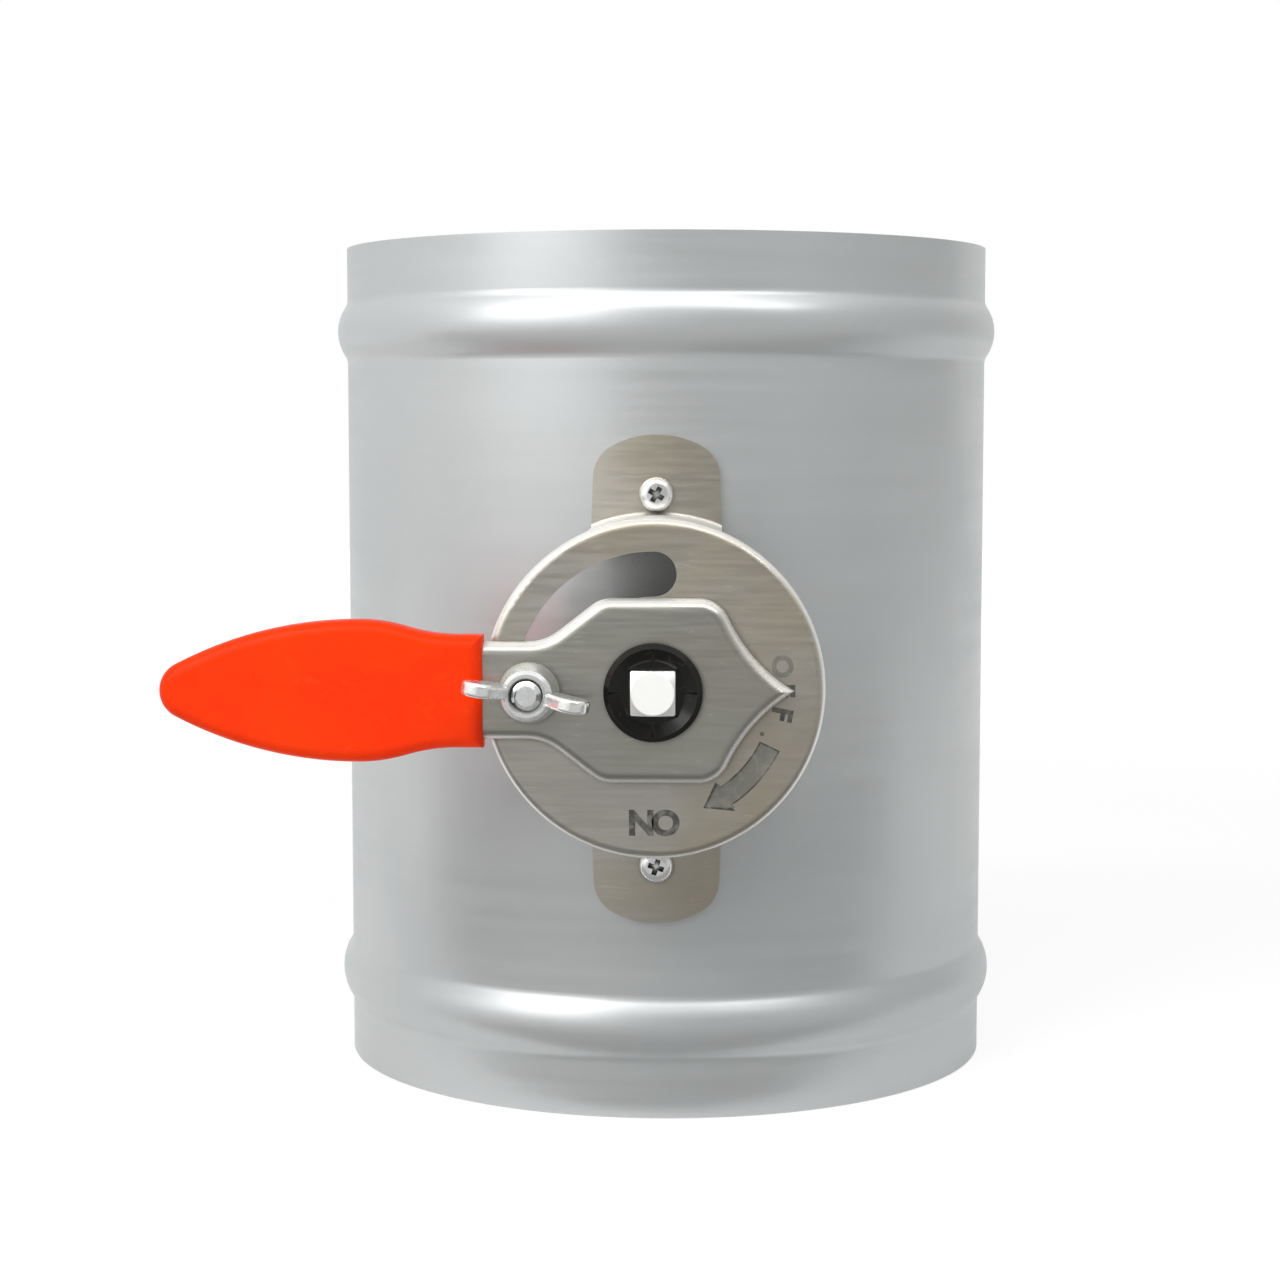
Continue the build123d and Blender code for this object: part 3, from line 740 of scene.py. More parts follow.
STAINLESS_DIAL = Metal(
    "stainless_dial",
    paint(184, 181, 173),
    metallic=1.0,
    roughness=0.36,
    grain=(60.0, 300.0, 700.0),
    grain_shade=0.06,
    cloud_colour=paint(178, 170, 152),
    cloud_size=22.0,
    cloud_share=0.75,
    stain_colour=paint(168, 158, 138),
    stain_share=0.45,
    scratches=(40.0, 500.0, 700.0),
    scratch_share=0.22,
    grain_depth=0.006 * MM,
    # Painted highlight on the dial's rim and bent legs.
    rim_highlight_share=0.8,
    edge_colour=paint(225, 223, 216),
    shade_and_dirt_colour=paint(88, 82, 72),
    shade_and_dirt_share=0.45,
)
STAINLESS_HANDLE = Metal(
    "stainless_handle",
    paint(172, 171, 164),
    metallic=1.0,
    roughness=0.33,
    grain=(50.0, 300.0, 900.0),
    grain_shade=0.05,
    cloud_colour=paint(160, 158, 147),
    cloud_size=26.0,
    cloud_share=0.6,
    stain_colour=paint(160, 152, 136),
    stain_share=0.25,
    scratches=(60.0, 500.0, 800.0),
    scratch_share=0.2,
    grain_depth=0.006 * MM,
    # Painted highlight on the handle's rounded shoulder.
    rim_highlight_share=0.8,
    edge_colour=paint(226, 225, 220),
    shade_and_dirt_colour=paint(82, 78, 70),
    shade_and_dirt_share=0.4,
)
BRIGHT_ZINC = Metal(
    "bright_zinc",
    paint(240, 241, 239),
    metallic=0.85,
    roughness=0.2,
    grain=(420.0, 420.0, 420.0),
    grain_shade=0.02,
    grain_depth=0.0004 * MM,
    cloud_colour=paint(226, 229, 234),
    cloud_size=260.0,
    cloud_share=0.3,
    stain_colour=paint(226, 218, 188),
    stain_share=0.15,
    scratches=(400.0, 400.0, 1500.0),
    scratch_share=0.05,
    edge_colour=paint(240, 240, 238),
    edge_share=0.35,
    edge_radius=0.2 * MM,
    shade_and_dirt_colour=paint(58, 61, 56),
    shade_and_dirt_share=0.9,
    shade_and_dirt_reach=1.5 * MM,
)
SHAFT_STEEL = TurnedBar(
    "shaft_steel",
    paint(232, 232, 228),
    metallic=1.0,
    roughness=0.34,
    grain=(1200.0, 30.0, 1200.0),
    grain_shade=0.06,
    cloud_colour=paint(214, 212, 206),
    cloud_size=150.0,
    cloud_share=0.4,
    scratch_share=0.15,
    shade_and_dirt_colour=paint(120, 114, 104),
    shade_and_dirt_share=0.4,
)
SPRING_STEEL = Metal(
    "spring_steel",
    paint(58, 58, 62),
    metallic=0.9,
    roughness=0.4,
    cloud_colour=paint(72, 70, 76),
    cloud_size=200.0,
    edge_colour=paint(128, 126, 122),
    edge_share=0.5,
    scratch_share=0.1,
)
RIVET_STEEL = Metal(
    "rivet_steel",
    paint(190, 192, 192),
    metallic=1.0,
    roughness=0.3,
    cloud_colour=paint(172, 174, 176),
    cloud_size=200.0,
    shade_and_dirt_colour=paint(92, 92, 88),
    shade_and_dirt_share=0.5,
)
BLACK_NYLON = Moulding(
    "black_nylon",
    paint(30, 30, 31),
    roughness=0.5,
    mottle_colour=paint(38, 38, 39),
    rub_colour=paint(70, 70, 70),
    texture_depth=0.02 * MM,
)
PALE_NYLON = Moulding(
    "pale_nylon",
    paint(222, 216, 200),
    roughness=0.42,
    mottle_colour=paint(208, 200, 180),
    scuff_colour=paint(190, 182, 164),
    rub_colour=paint(232, 228, 216),
    dust_and_shade_colour=paint(128, 120, 104),
    dust_and_shade_share=0.3,
)
BLACK_GLOSS = Moulding(
    "black_gloss",
    paint(14, 13, 10),
    roughness=0.16,
    specular=0.3,
    mottle_colour=paint(20, 19, 15),
    texture_depth=0.004 * MM,
    scuff_colour=paint(70, 68, 62),
    scuff_share=0.25,
    rub_colour=paint(58, 56, 50),
    rub_share=0.4,
    rub_radius=0.25 * MM,
    dust_and_shade_colour=paint(60, 57, 50),
    dust_and_shade_share=0.1,
)
SEAL_RUBBER = Moulding(
    "seal_rubber",
    paint(36, 36, 37),
    roughness=0.68,
    specular=0.35,
    mottle_colour=paint(52, 52, 52),
    mottle_share=0.5,
    texture_size=1500.0,
    texture_depth=0.03 * MM,
    dust_and_shade_colour=paint(150, 148, 142),
    dust_and_shade_share=0.25,
)
ORANGE_VINYL = Moulding(
    "orange_vinyl",
    paint(255, 60, 0),
    roughness=0.38,
    specular=0.1,
    mottle_colour=paint(252, 50, 0),
    mottle_size=34.0,
    mottle_share=0.6,
    texture_size=1500.0,
    texture_depth=0.01 * MM,
    scuff_colour=paint(255, 110, 50),
    scuff_share=0.12,
    rub_colour=paint(255, 88, 24),
    rub_share=0.2,
    dust_and_shade_colour=paint(120, 60, 30),
    dust_and_shade_share=0.2,
)
DARK_INK = Ink("dark_ink", paint(66, 65, 60), roughness=0.5)
GREY_INK = Ink("grey_ink", paint(112, 111, 102), roughness=0.5, thin_share=0.4)


def dress(**finishes: Finish) -> list[str]:
    """Give CAD nodes their finishes.

    Args:
        **finishes: The finish of each node.

    Returns:
        The nodes' names.
    """
    for node, finish in finishes.items():
        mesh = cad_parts[node].data
        mesh.materials.clear()
        mesh.materials.append(finish.material())
    return list(finishes)


def as_object(bm: BMesh, name: str) -> bpy.types.Object:
    """Turn a bmesh into an object of the scene.

    Args:
        bm: The shape, which is used up.
        name: The object's name.

    Returns:
        The new object.
    """
    mesh = bpy.data.meshes.new(name)
    bm.to_mesh(mesh)
    bm.free()
    made = bpy.data.objects.new(name, mesh)
    bpy.context.scene.collection.objects.link(made)
    return made


def finished(
    bm: BMesh,
    name: str,
    body: Body,
    finish: Finish,
    replaces: str = "",
    place: Matrix = Matrix.Identity(4),
) -> str:
    """Turn a bmesh into a finished piece that rides on a body.

    Args:
        bm: The piece, which is used up.
        name: The piece's name.
        body: The body it rides on.
        finish: Its finish.
        replaces: The CAD node it stands for, if any.
        place: Where it goes in the object's frame.

    Returns:
        The piece's name.
    """
    bmesh.ops.remove_doubles(bm, verts=bm.verts, dist=MERGE)
    bmesh.ops.dissolve_degenerate(bm, edges=bm.edges, dist=SLIVER)
    bmesh.ops.transform(bm, matrix=place, verts=bm.verts)
    bmesh.ops.recalc_face_normals(bm, faces=bm.faces)
    piece = as_object(bm, name)
    mesh = piece.data
    mesh.polygons.foreach_set("use_smooth", [True] * len(mesh.polygons))
    mesh.set_sharp_from_angle(angle=CREASE)
    mesh.materials.append(finish.material())
    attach(piece, body.value)
    if replaces:
        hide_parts(replaces)
    return piece.name


def only(items: list, kind: type) -> list:
    """Pick the items of one kind."""
    return [item for item in items if isinstance(item, kind)]


def chain(bm: BMesh, points: list[tuple[float, float]], closed: bool = False) -> list[BMVert | BMEdge]:
    """Add a section's points joined by edges, in order.

    Args:
        bm: The mesh they go into.
        points: Each point's distance from Z and its height.
        closed: Whether the last joins the first.

    Returns:
        The new vertices and edges.
    """
    verts = [bm.verts.new((radius, 0.0, height)) for radius, height in points]
    pairs = list(zip(verts, verts[1:])) + ([(verts[-1], verts[0])] if closed else [])
    return verts + [bm.edges.new(pair) for pair in pairs]


def spin(bm: BMesh, section: list, steps: int, turn: float = tau, rise: float = 0.0) -> list:
    """Spin a section round Z.

    Args:
        bm: The mesh it is in.
        section: Its vertices and edges.
        steps: How many steps the turn has.
        turn: How far it turns.
        rise: How far each step climbs.

    Returns:
        The section at the end of the turn.
    """
    spun = bmesh.ops.spin(
        bm, geom=section, axis=(0.0, 0.0, 1.0), cent=(0.0, 0.0, 0.0), dvec=(0.0, 0.0, rise),
        angle=turn, steps=steps, use_merge=turn == tau and not rise,
    )
    return spun["geom_last"]


def raise_flat(bm: BMesh, height: float) -> BMesh:
    """Give a flat shape its thickness along Z.

    Args:
        bm: The shape.
        height: The thickness.

    Returns:
        The same bmesh.
    """
    raised = bmesh.ops.extrude_face_region(bm, geom=bm.faces[:])["geom"]
    bmesh.ops.translate(bm, verts=only(raised, BMVert), vec=(0.0, 0.0, height))
    return bm


def add_thread(bm: BMesh, root: float, crest: float, pitch: float, start: float, end: float) -> None:
    """Add a closed thread ridge round Z.

    Args:
        bm: The mesh it goes into.
        root: Radius of the bar that it stands on.
        crest: Radius of its top.
        pitch: Its rise in one turn.
        start: Lowest point of the ridge.
        end: Highest point of the ridge.
    """
    foot, top = THREAD_FOOT * pitch, THREAD_TOP * pitch
    inner, middle = root - THREAD_SINK, start + foot
    shape = [(inner, middle - foot), (crest, middle - top), (crest, middle + top), (inner, middle + foot)]
    section = chain(bm, shape, closed=True)
    steps = round((end - start - 2.0 * foot) / pitch * THREAD_STEPS)
    last = spin(bm, section, steps, tau * steps / THREAD_STEPS, pitch / THREAD_STEPS)
    bmesh.ops.contextual_create(bm, geom=only(section, BMEdge))
    bmesh.ops.contextual_create(bm, geom=only(last, BMEdge))


@dataclass(frozen=True)
class HexBolt:
    """A hexagon bolt along Z, with its head's underside at 0 and its thread above."""

    radius: float
    pitch: float
    flats: float
    head: float
    plain: float = 3.0 * MM
    run_out: float = 0.3 * MM
    neck: float = 0.4 * MM
    point: float = 0.6 * MM
    chamfer: float = 1 / 9
    thread_depth: float = 0.6
    steps: int = 40

    def mesh(self, length: float) -> BMesh:
        """Make the bolt.

        Args:
            length: How long it is under its head.

        Returns:
            The bolt as a bmesh.
        """
        bm = bmesh.new()
        corner = self.flats / 2 / cos(pi / 6)
        place = Matrix.Translation((0.0, 0.0, -self.head / 2)) @ Matrix.Rotation(pi / 2, 4, "Z")
        bmesh.ops.create_cone(
            bm, cap_ends=True, segments=6, radius1=corner, radius2=corner, depth=self.head, matrix=place,
        )
        rim = [edge for edge in bm.edges if all(vert.co.z < -self.head / 2 for vert in edge.verts)]
        cut = self.head * self.chamfer
        bmesh.ops.bevel(bm, geom=rim, offset=cut, affect="EDGES", segments=2, profile=0.5, material=-1)
        root = self.radius - self.thread_depth * self.pitch
        bar = [
            (0.0, -self.neck), (self.radius, -self.neck), (self.radius, self.plain - self.run_out),
            (root, self.plain), (root, length - self.point), (root - self.point, length), (0.0, length),
        ]
        spin(bm, chain(bm, bar), self.steps)
        add_thread(bm, root, self.radius, self.pitch, self.plain, length - self.point / 2)
        return bm


@dataclass
class DuctSection:
    """The beaded sleeve with its welded seam, and its bearings."""

    weld_half: float = 1.5 * MM
    weld_height: float = 0.32 * MM
    weld_root: float = 0.1 * MM
    weld_ripple: float = 0.05 * MM
    ripple_pitch: float = 1.5 * MM
    weld_inset: float = 0.4 * MM
    weld_step: float = 0.5 * MM
    weld_sides: int = 16

    def weld(self, start: float, end: float) -> BMesh:
        """Run a rippled weld up the back of the sleeve.

        Args:
            start: Its lower end.
            end: Its upper end.

        Returns:
            The weld as a bmesh.
        """
        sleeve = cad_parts["duct_sleeve"]
        outside = 2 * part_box("duct_sleeve")[1].y
        rows = round((end - start) / self.weld_step)
        bm = bmesh.new()
        bmesh.ops.create_grid(bm, x_segments=self.weld_sides, y_segments=rows, size=0.5)
        for vert in bm.verts:
            turn = tau * (vert.co.x + 0.5)
            height = start + (end - start) * (vert.co.y + 0.5)
            _, spot, normal, _ = sleeve.ray_cast(Vector((0.0, outside, height)), Vector((0.0, -1.0, 0.0)))
            rise = self.weld_height + self.weld_ripple * sin(tau * height / self.ripple_pitch)
            lift = sin(turn) * (rise if sin(turn) > 0.0 else self.weld_root)
            vert.co = spot + normal * lift + Vector((self.weld_half * cos(turn), 0.0, 0.0))
        bmesh.ops.remove_doubles(bm, verts=bm.verts, dist=MERGE)
        bmesh.ops.holes_fill(bm, edges=[edge for edge in bm.edges if edge.is_boundary], sides=0)
        return bm

    def build(self) -> list[str]:
        """Dress the sleeve and the bearings, and weld the sleeve.

        Returns:
            The names of the pieces.
        """
        done = dress(duct_sleeve=DUCT_STEEL, front_bearing=BLACK_NYLON, rear_bearing=BLACK_NYLON)
        low, high = (corner.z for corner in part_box("duct_sleeve"))
        hole_low, hole_high = (corner.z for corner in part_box("rear_bearing"))
        for name, start, end in (("weld_lower", low, hole_low), ("weld_upper", hole_high, high)):
            run = self.weld(start + self.weld_inset, end - self.weld_inset)
            done.append(finished(run, name, Body.HOUSING, WELD_STEEL))
        return done


@dataclass
class BladeSet:
    """The blade in the duct: two discs, their seal, rivets, bolts and nuts."""

    bolt: HexBolt = HexBolt(3.0 * MM, pitch=1.0 * MM, flats=10.0 * MM, head=4.0 * MM)

    def bolts(self) -> str:
        """Make the two threaded bolts, heads up, in place of the plain ones.

        Returns:
            The piece's name.
        """
        low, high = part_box("blade_bolts")
        seat = high.z - self.bolt.head
        reach = high.y - self.bolt.flats / 2
        both = self.bolt.mesh(seat - low.z)
        place = Matrix.Translation((0.0, -reach, seat)) @ Matrix.Rotation(pi, 4, "X")
        bmesh.ops.transform(both, matrix=place, verts=both.verts)
        copied = bmesh.ops.duplicate(both, geom=[*both.verts, *both.edges, *both.faces])["geom"]
        bmesh.ops.translate(both, verts=only(copied, BMVert), vec=(0.0, 2 * reach, 0.0))
        return finished(
            both, "blade_bolts_threaded", Body.LEVER_SET, BRIGHT_ZINC, "blade_bolts",
        )

    def build(self) -> list[str]:
        """Dress the blade.

        Returns:
            The names of the pieces.
        """
        done = dress(
            blade_upper=BLADE_STEEL, blade_lower=BLADE_STEEL, blade_seal=SEAL_RUBBER,
            blade_rivets=RIVET_STEEL, blade_washers=BRIGHT_ZINC, blade_nuts=BRIGHT_ZINC,
        )
        return [*done, self.bolts()]


class ShaftSet:
    """The square shaft with its bushes, washer and ring."""

    def build(self) -> list[str]:
        """Dress the shaft and what is on it.

        Returns:
            The names of the pieces.
        """
        return dress(
            square_shaft=SHAFT_STEEL, front_bush=PALE_NYLON, rear_bush=PALE_NYLON,
            thrust_washer=BRIGHT_ZINC, retaining_ring=SPRING_STEEL,
        )


@dataclass
class DialBracket:
    """The dial with its printed marks, and the screws that hold it."""

    screw_radius: float = 2.3 * MM
    screw_head_radius: float = 4.8 * MM
    screw_thread: float = 0.45 * MM
    screw_pitch: float = 1.6 * MM
    screw_start: float = 0.3 * MM
    screw_run: float = 9.4 * MM
    cap_share: float = 0.73
    open_height: float = 6.7 * MM
    open_gain: float = 0.42 * MM
    open_place: tuple[float, float] = (35.9 * MM, -90.0)
    word_squeeze: float = 0.84
    closed_height: float = 5.5 * MM
    closed_gain: float = 0.294 * MM
    closed_radius: float = 35.0 * MM
    letter_step: float = 10.6
    arrow_inner: float = 32.3 * MM
    arrow_outer: float = 37.4 * MM
    arrow_start: float = -26.5
    arrow_neck: float = -55.5
    arrow_tip: float = -66.0
    arrow_steps: int = 24
    head_spread: float = 1.5 * MM
    head_gain: float = 0.6
    tip_gain: float = 2.0
    ink_height: float = 0.04 * MM
    line_width: float = 0.45 * MM
    dot_radius: float = 0.6 * MM
    dot_sides: int = 16
    dot_place: tuple[float, float] = (31.6 * MM, -22.0)

    def threads(self) -> list[str]:
        """Cut the screws' coarse threads where they have passed the sleeve's wall.

        Returns:
            The names of the pieces.
        """
        low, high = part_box("bracket_screws")
        done = []
        heights = {"lower": low.z + self.screw_head_radius, "upper": high.z - self.screw_head_radius}
        for name, height in heights.items():
            bm = bmesh.new()
            crest = self.screw_radius + self.screw_thread
            add_thread(bm, self.screw_radius, crest, self.screw_pitch, self.screw_start, self.screw_run)
            place = Matrix.Translation((0.0, high.y, height)) @ Matrix.Rotation(pi / 2, 4, "X")
            name = f"screw_thread_{name}"
            done.append(finished(bm, name, Body.HOUSING, BRIGHT_ZINC, place=place))
        return done

    def dial_place(self, radius: float, angle: float) -> Matrix:
        """Find the place of a mark on the dial, upright outwards.

        Args:
            radius: Distance from the shaft's axis.
            angle: Degrees from the right, turning up.

        Returns:
            The matrix that puts a flat mark there.
        """
        face = Vector((PIVOT.x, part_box("dial_bracket")[0].y, PIVOT.z))
        out = Matrix.Translation((radius * cos(radians(angle)), radius * sin(radians(angle)), 0.0))
        turned = Matrix.Rotation(radians(angle - 90.0), 4, "Z")
        return Matrix.Translation(face) @ Matrix.Rotation(pi / 2, 4, "X") @ out @ turned

    def letters(self, text: str, height: float, gain: float) -> BMesh:
        """Make flat letters, centred on the origin.

        Args:
            text: The letters.
            height: Their height.
            gain: How much bolder than plain each stroke is.

        Returns:
            The letters as a bmesh.
        """
        curve = bpy.data.curves.new("letters", "FONT")
        curve.body = text
        curve.align_x = curve.align_y = "CENTER"
        curve.size = height / self.cap_share
        curve.offset = gain
        curve.space_character = self.word_squeeze
        curve.extrude = self.ink_height
        holder = bpy.data.objects.new("letters", curve)
        bpy.context.scene.collection.objects.link(holder)
        mesh = bpy.data.meshes.new_from_object(holder.evaluated_get(bpy.context.evaluated_depsgraph_get()))
        bpy.data.objects.remove(holder)
        bpy.data.curves.remove(curve)
        bm = bmesh.new()
        bm.from_mesh(mesh)
        bpy.data.meshes.remove(mesh)
        return bm

    def arrow(self, gain: float, height: float) -> BMesh:
        """Make the curved arrow as a flat solid round the dial's centre.

        Args:
            gain: How far its outline stands out all round.
            height: How far it stands proud of the dial.

        Returns:
            The arrow as a bmesh.
        """
        lean = degrees(gain / self.arrow_outer)
        bm = bmesh.new()
        tail = [bm.verts.new((edge, 0.0, 0.0)) for edge in (self.arrow_inner - gain, self.arrow_outer + gain)]
        bmesh.ops.rotate(bm, verts=tail, matrix=Matrix.Rotation(radians(self.arrow_start + lean), 3, "Z"))
        bm.edges.new(tail)
        turn = radians(self.arrow_neck - lean - self.arrow_start - lean)
        neck = only(spin(bm, [*bm.verts, *bm.edges], self.arrow_steps, turn), BMEdge)
        last = bmesh.ops.extrude_edge_only(bm, edges=neck)["geom"]
        wide = only(last, BMVert)
        spread = self.head_spread + self.head_gain * gain
        for vert in wide:
            is_outer = vert.co.length > self.arrow_inner + self.head_spread
            vert.co *= 1.0 + (spread if is_outer else -spread) / vert.co.length
        head = [edge for edge in only(last, BMEdge) if set(edge.verts) == set(wide)]
        point = bmesh.ops.extrude_edge_only(bm, edges=head)["geom"]
        middle = (self.arrow_inner + self.arrow_outer) / 2
        tip = radians(self.arrow_tip - self.tip_gain * lean)
        for vert in only(point, BMVert):
            vert.co = Vector((middle * cos(tip), middle * sin(tip), 0.0))
        bmesh.ops.remove_doubles(bm, verts=bm.verts, dist=MERGE)
        return raise_flat(bm, height)

    def dot(self) -> BMesh:
        """Make the round mark at the arrow's tail.

        Returns:
            The dot as a bmesh.
        """
        bm = bmesh.new()
        bmesh.ops.create_circle(bm, cap_ends=True, segments=self.dot_sides, radius=self.dot_radius)
        return raise_flat(bm, self.ink_height)

    def build(self) -> list[str]:
        """Dress the bracket and its screws, and print the dial.

        Returns:
            The names of the pieces.
        """
        done = dress(dial_bracket=STAINLESS_DIAL, bracket_screws=BRIGHT_ZINC) + self.threads()
        word = self.letters("ON", self.open_height, self.open_gain)
        marks = [("mark_open", word, DARK_INK, self.open_place)]
        for index, letter in enumerate("OFF"):
            place = (self.closed_radius, (1 - index) * self.letter_step)
            mark = self.letters(letter, self.closed_height, self.closed_gain)
            marks.append((f"mark_closed_{index}", mark, DARK_INK if index else GREY_INK, place))
        upright = (0.0, 90.0)
        edge = self.arrow(self.line_width, self.ink_height / 2)
        marks += [
            ("mark_dot", self.dot(), DARK_INK, self.dot_place),
            ("mark_arrow_edge", edge, DARK_INK, upright),
            ("mark_arrow", self.arrow(0.0, self.ink_height), GREY_INK, upright),
        ]
        for name, mark, ink, place in marks:
            done.append(finished(mark, name, Body.HOUSING, ink, place=self.dial_place(*place)))
        return done


class Lever:
    """The pressed handle with its grip and hub insert."""

    def build(self) -> list[str]:
        """Dress the lever.

        Returns:
            The names of the pieces.
        """
        return dress(handle_plate=STAINLESS_HANDLE, handle_grip=ORANGE_VINYL, hub_insert=BLACK_GLOSS)


@dataclass
class Clamp:
    """The bolt, washers and wing nut that lock the lever."""

    bolt: HexBolt = HexBolt(4.0 * MM, pitch=1.25 * MM, flats=13.0 * MM, head=5.3 * MM)

    def threaded(self) -> str:
        """Make the threaded bolt, head behind the dial, in place of the plain one.

        Returns:
            The piece's name.
        """
        low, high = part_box("clamp_bolt")
        middle = (low + high) / 2
        seat = high.y - self.bolt.head
        bm = self.bolt.mesh(seat - low.y)
        place = Matrix.Translation((middle.x, seat, middle.z)) @ Matrix.Rotation(pi / 2, 4, "X")
        return finished(
            bm, "clamp_bolt_threaded", Body.LEVER_SET, BRIGHT_ZINC, "clamp_bolt", place,
        )

    def build(self) -> list[str]:
        """Dress the clamp.

        Returns:
            The names of the pieces.
        """
        done = dress(slot_washer=BRIGHT_ZINC, nut_washer=BRIGHT_ZINC, wing_nut=BRIGHT_ZINC)
        return [*done, self.threaded()]


@dataclass(frozen=True)
class Card:
    """A grey card that the metal reflects: one corner, its sides from there and its brightness."""

    name: str
    corner: tuple[float, float, float]
    across: tuple[float, float, float]
    up: tuple[float, float, float]
    shade: float


@dataclass(frozen=True)
class SoftBox:
    """A soft box: where it hangs, its width and height, and its power in watts."""

    name: str
    place: tuple[float, float, float]
    size: tuple[float, float]
    power: float


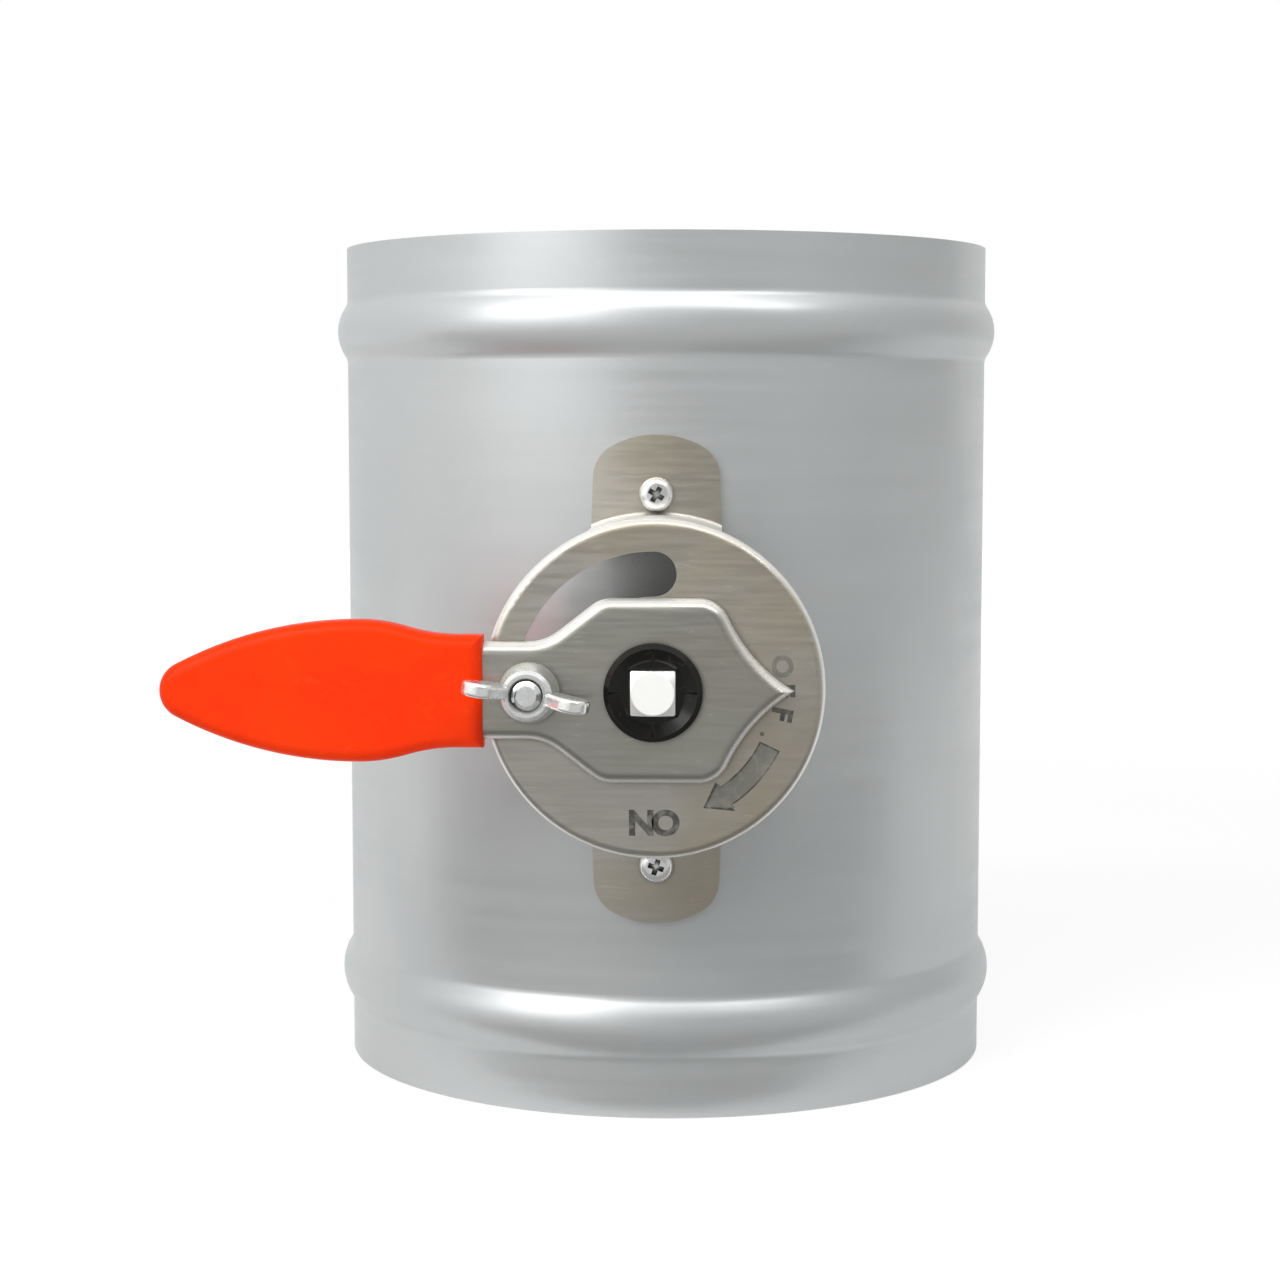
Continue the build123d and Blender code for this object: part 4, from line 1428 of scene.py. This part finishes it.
@dataclass
class Studio:
    """The floor, the light and the camera."""

    lens: float = 72.8
    camera_place: tuple[float, float, float] = (0.02075, -0.81974, 0.1994)
    camera_tilt: float = 85.0
    camera_turn: float = 2.017
    floor_size: float = 6.0
    floor_white: float = 0.8
    floor_shade: float = 0.3
    floor_fade: tuple[float, float] = (0.5, 1.6)
    floor_tones: tuple[Colour, Colour] = ((0.76,) * 3, (0.8,) * 3)
    floor_clouds: tuple[float, float, float] = (3.0, 0.3, 0.7)
    floor_drop: float = 0.2 * MM
    ambient: float = 0.36
    cards: tuple[Card, ...] = (
        Card("front_card", (-0.35, -1.6, -0.4), (1.5, 0.0, 0.0), (0.0, 0.0, 1.7), 0.36),
        Card("right_card", (1.15, -1.6, -0.4), (0.35, 2.6, 0.0), (0.0, 0.0, 1.7), 0.6),
        Card("low_card", (-1.2, -1.6, 0.5 * MM), (2.4, 0.0, 0.0), (0.0, 1.28, 0.0), 0.6),
        Card("near_card", (-1.2, -0.32, 0.5 * MM), (2.4, 0.0, 0.0), (0.0, 0.215, 0.0), 0.3),
    )
    boxes: tuple[SoftBox, ...] = (
        SoftBox("key_box", (-0.95, -1.0, 0.9), (1.0, 1.0), 9.0),
        SoftBox("strip", (0.0, -1.0, 1.4), (2.6, 0.3), 15.0),
    )

    def camera(self) -> None:
        """Set up the camera at the photograph's angle."""
        data = bpy.data.cameras.new("camera")
        data.lens = self.lens
        data.sensor_width = 36.0
        camera = bpy.data.objects.new("camera", data)
        camera.location = self.camera_place
        camera.rotation_euler = (radians(self.camera_tilt), 0.0, radians(self.camera_turn))
        bpy.context.scene.collection.objects.link(camera)
        bpy.context.scene.camera = camera

    def shown_ray(self, wiring: Wiring) -> Socket:
        """Find the rays that show the background: the camera's, and those in metal and glass.

        Args:
            wiring: The nodes of the material or world.

        Returns:
            An output that is 1 for such rays.
        """
        path = wiring.add("LightPath").outputs
        shown = wiring.math("MAXIMUM", path["Is Camera Ray"], path["Is Glossy Ray"])
        return wiring.math("MAXIMUM", shown, path["Is Transmission Ray"])

    def world(self) -> None:
        """Light the room evenly, and show it white."""
        world = bpy.data.worlds.new("room")
        world.use_nodes = True
        bpy.context.scene.world = world
        wiring = Wiring(world.node_tree)
        world.node_tree.nodes.clear()
        mix = wiring.add("MixShader")
        wiring.put(mix.inputs[0], self.shown_ray(wiring))
        for socket, strength in zip(mix.inputs[1:], (self.ambient, 1.0)):
            light = wiring.add("Background")
            light.inputs["Color"].default_value = (1.0, 1.0, 1.0, 1.0)
            light.inputs["Strength"].default_value = strength
            wiring.put(socket, light.outputs[0])
        wiring.put(wiring.add("OutputWorld").inputs["Surface"], mix.outputs[0])

    def sheet(self, name: str, corner: Vector, across: Vector, up: Vector) -> bpy.types.Object:
        """Make a flat sheet of the studio.

        Args:
            name: Its name.
            corner: One corner.
            across: From there along one side.
            up: From there along the other.

        Returns:
            The sheet.
        """
        bm = bmesh.new()
        bmesh.ops.create_grid(bm, x_segments=1, y_segments=1, size=0.5)
        for vert in bm.verts:
            vert.co = corner + across * (vert.co.x + 0.5) + up * (vert.co.y + 0.5)
        sheet = as_object(bm, name)
        return sheet

    def floor(self) -> None:
        """Lay a white floor that keeps a soft shadow."""
        size = self.floor_size
        corner = Vector((-size / 2, -size / 2, -self.floor_drop))
        floor = self.sheet("floor", corner, Vector((size, 0.0, 0.0)), Vector((0.0, size, 0.0)))
        material = node_material("floor")
        wiring = Wiring(material.node_tree)
        shader = material.node_tree.nodes["Principled BSDF"]
        shader.inputs["Roughness"].default_value = 0.8
        shader.inputs["Specular IOR Level"].default_value = 0.0
        shown = self.shown_ray(wiring)
        lit = wiring.blend(wiring.effect(Effect.CLOUDS, *self.floor_clouds), *self.floor_tones)
        wiring.put(shader.inputs["Base Color"], wiring.blend(shown, lit, (self.floor_shade,) * 3))
        glow = wiring.add("Emission")
        away = wiring.add("VectorMath", operation="LENGTH")
        wiring.put(away.inputs[0], wiring.place())
        white = wiring.remap(away.outputs["Value"], *self.floor_fade, self.floor_white, 1.0)
        wiring.put(glow.inputs["Strength"], wiring.share(shown, white))
        both = wiring.add("AddShader")
        wiring.put(both.inputs[0], shader.outputs[0])
        wiring.put(both.inputs[1], glow.outputs[0])
        wiring.put(material.node_tree.nodes["Material Output"].inputs["Surface"], both.outputs[0])
        floor.data.materials.append(material)

    def stand(self, card: Card) -> None:
        """Stand a card where the metal reflects it, out of the camera's sight.

        Args:
            card: The card.
        """
        sheet = self.sheet(card.name, Vector(card.corner), Vector(card.across), Vector(card.up))
        sheet.visible_camera = sheet.visible_shadow = sheet.visible_diffuse = False
        material = node_material(card.name)
        wiring = Wiring(material.node_tree)
        glow = wiring.add("Emission")
        glow.inputs["Color"].default_value = (*(card.shade,) * 3, 1.0)
        wiring.put(material.node_tree.nodes["Material Output"].inputs["Surface"], glow.outputs[0])
        sheet.data.materials.append(material)

    def hang(self, box: SoftBox) -> None:
        """Hang a soft box that faces the damper.

        Args:
            box: The soft box.
        """
        data = bpy.data.lights.new(box.name, "AREA")
        data.shape = "RECTANGLE"
        data.size, data.size_y = box.size
        data.energy = box.power
        lamp = bpy.data.objects.new(box.name, data)
        lamp.location = box.place
        lamp.rotation_euler = (PIVOT - Vector(box.place)).to_track_quat("-Z", "Y").to_euler()
        bpy.context.scene.collection.objects.link(lamp)

    def build(self) -> None:
        """Set up the whole studio."""
        scene = bpy.context.scene
        scene.view_settings.view_transform = "Standard"
        self.world()
        self.floor()
        for card in self.cards:
            self.stand(card)
        for box in self.boxes:
            self.hang(box)
        self.camera()


def main() -> None:
    """Build and dress every sub-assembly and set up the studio."""
    logging.basicConfig(level=logging.INFO, format="%(name)s: %(message)s")
    for assembly in (DuctSection(), BladeSet(), ShaftSet(), DialBracket(), Lever(), Clamp()):
        for name in assembly.build():
            log.info("%s finished %s", type(assembly).__name__, name)
    Studio().build()


if __name__ == "__main__":
    main()
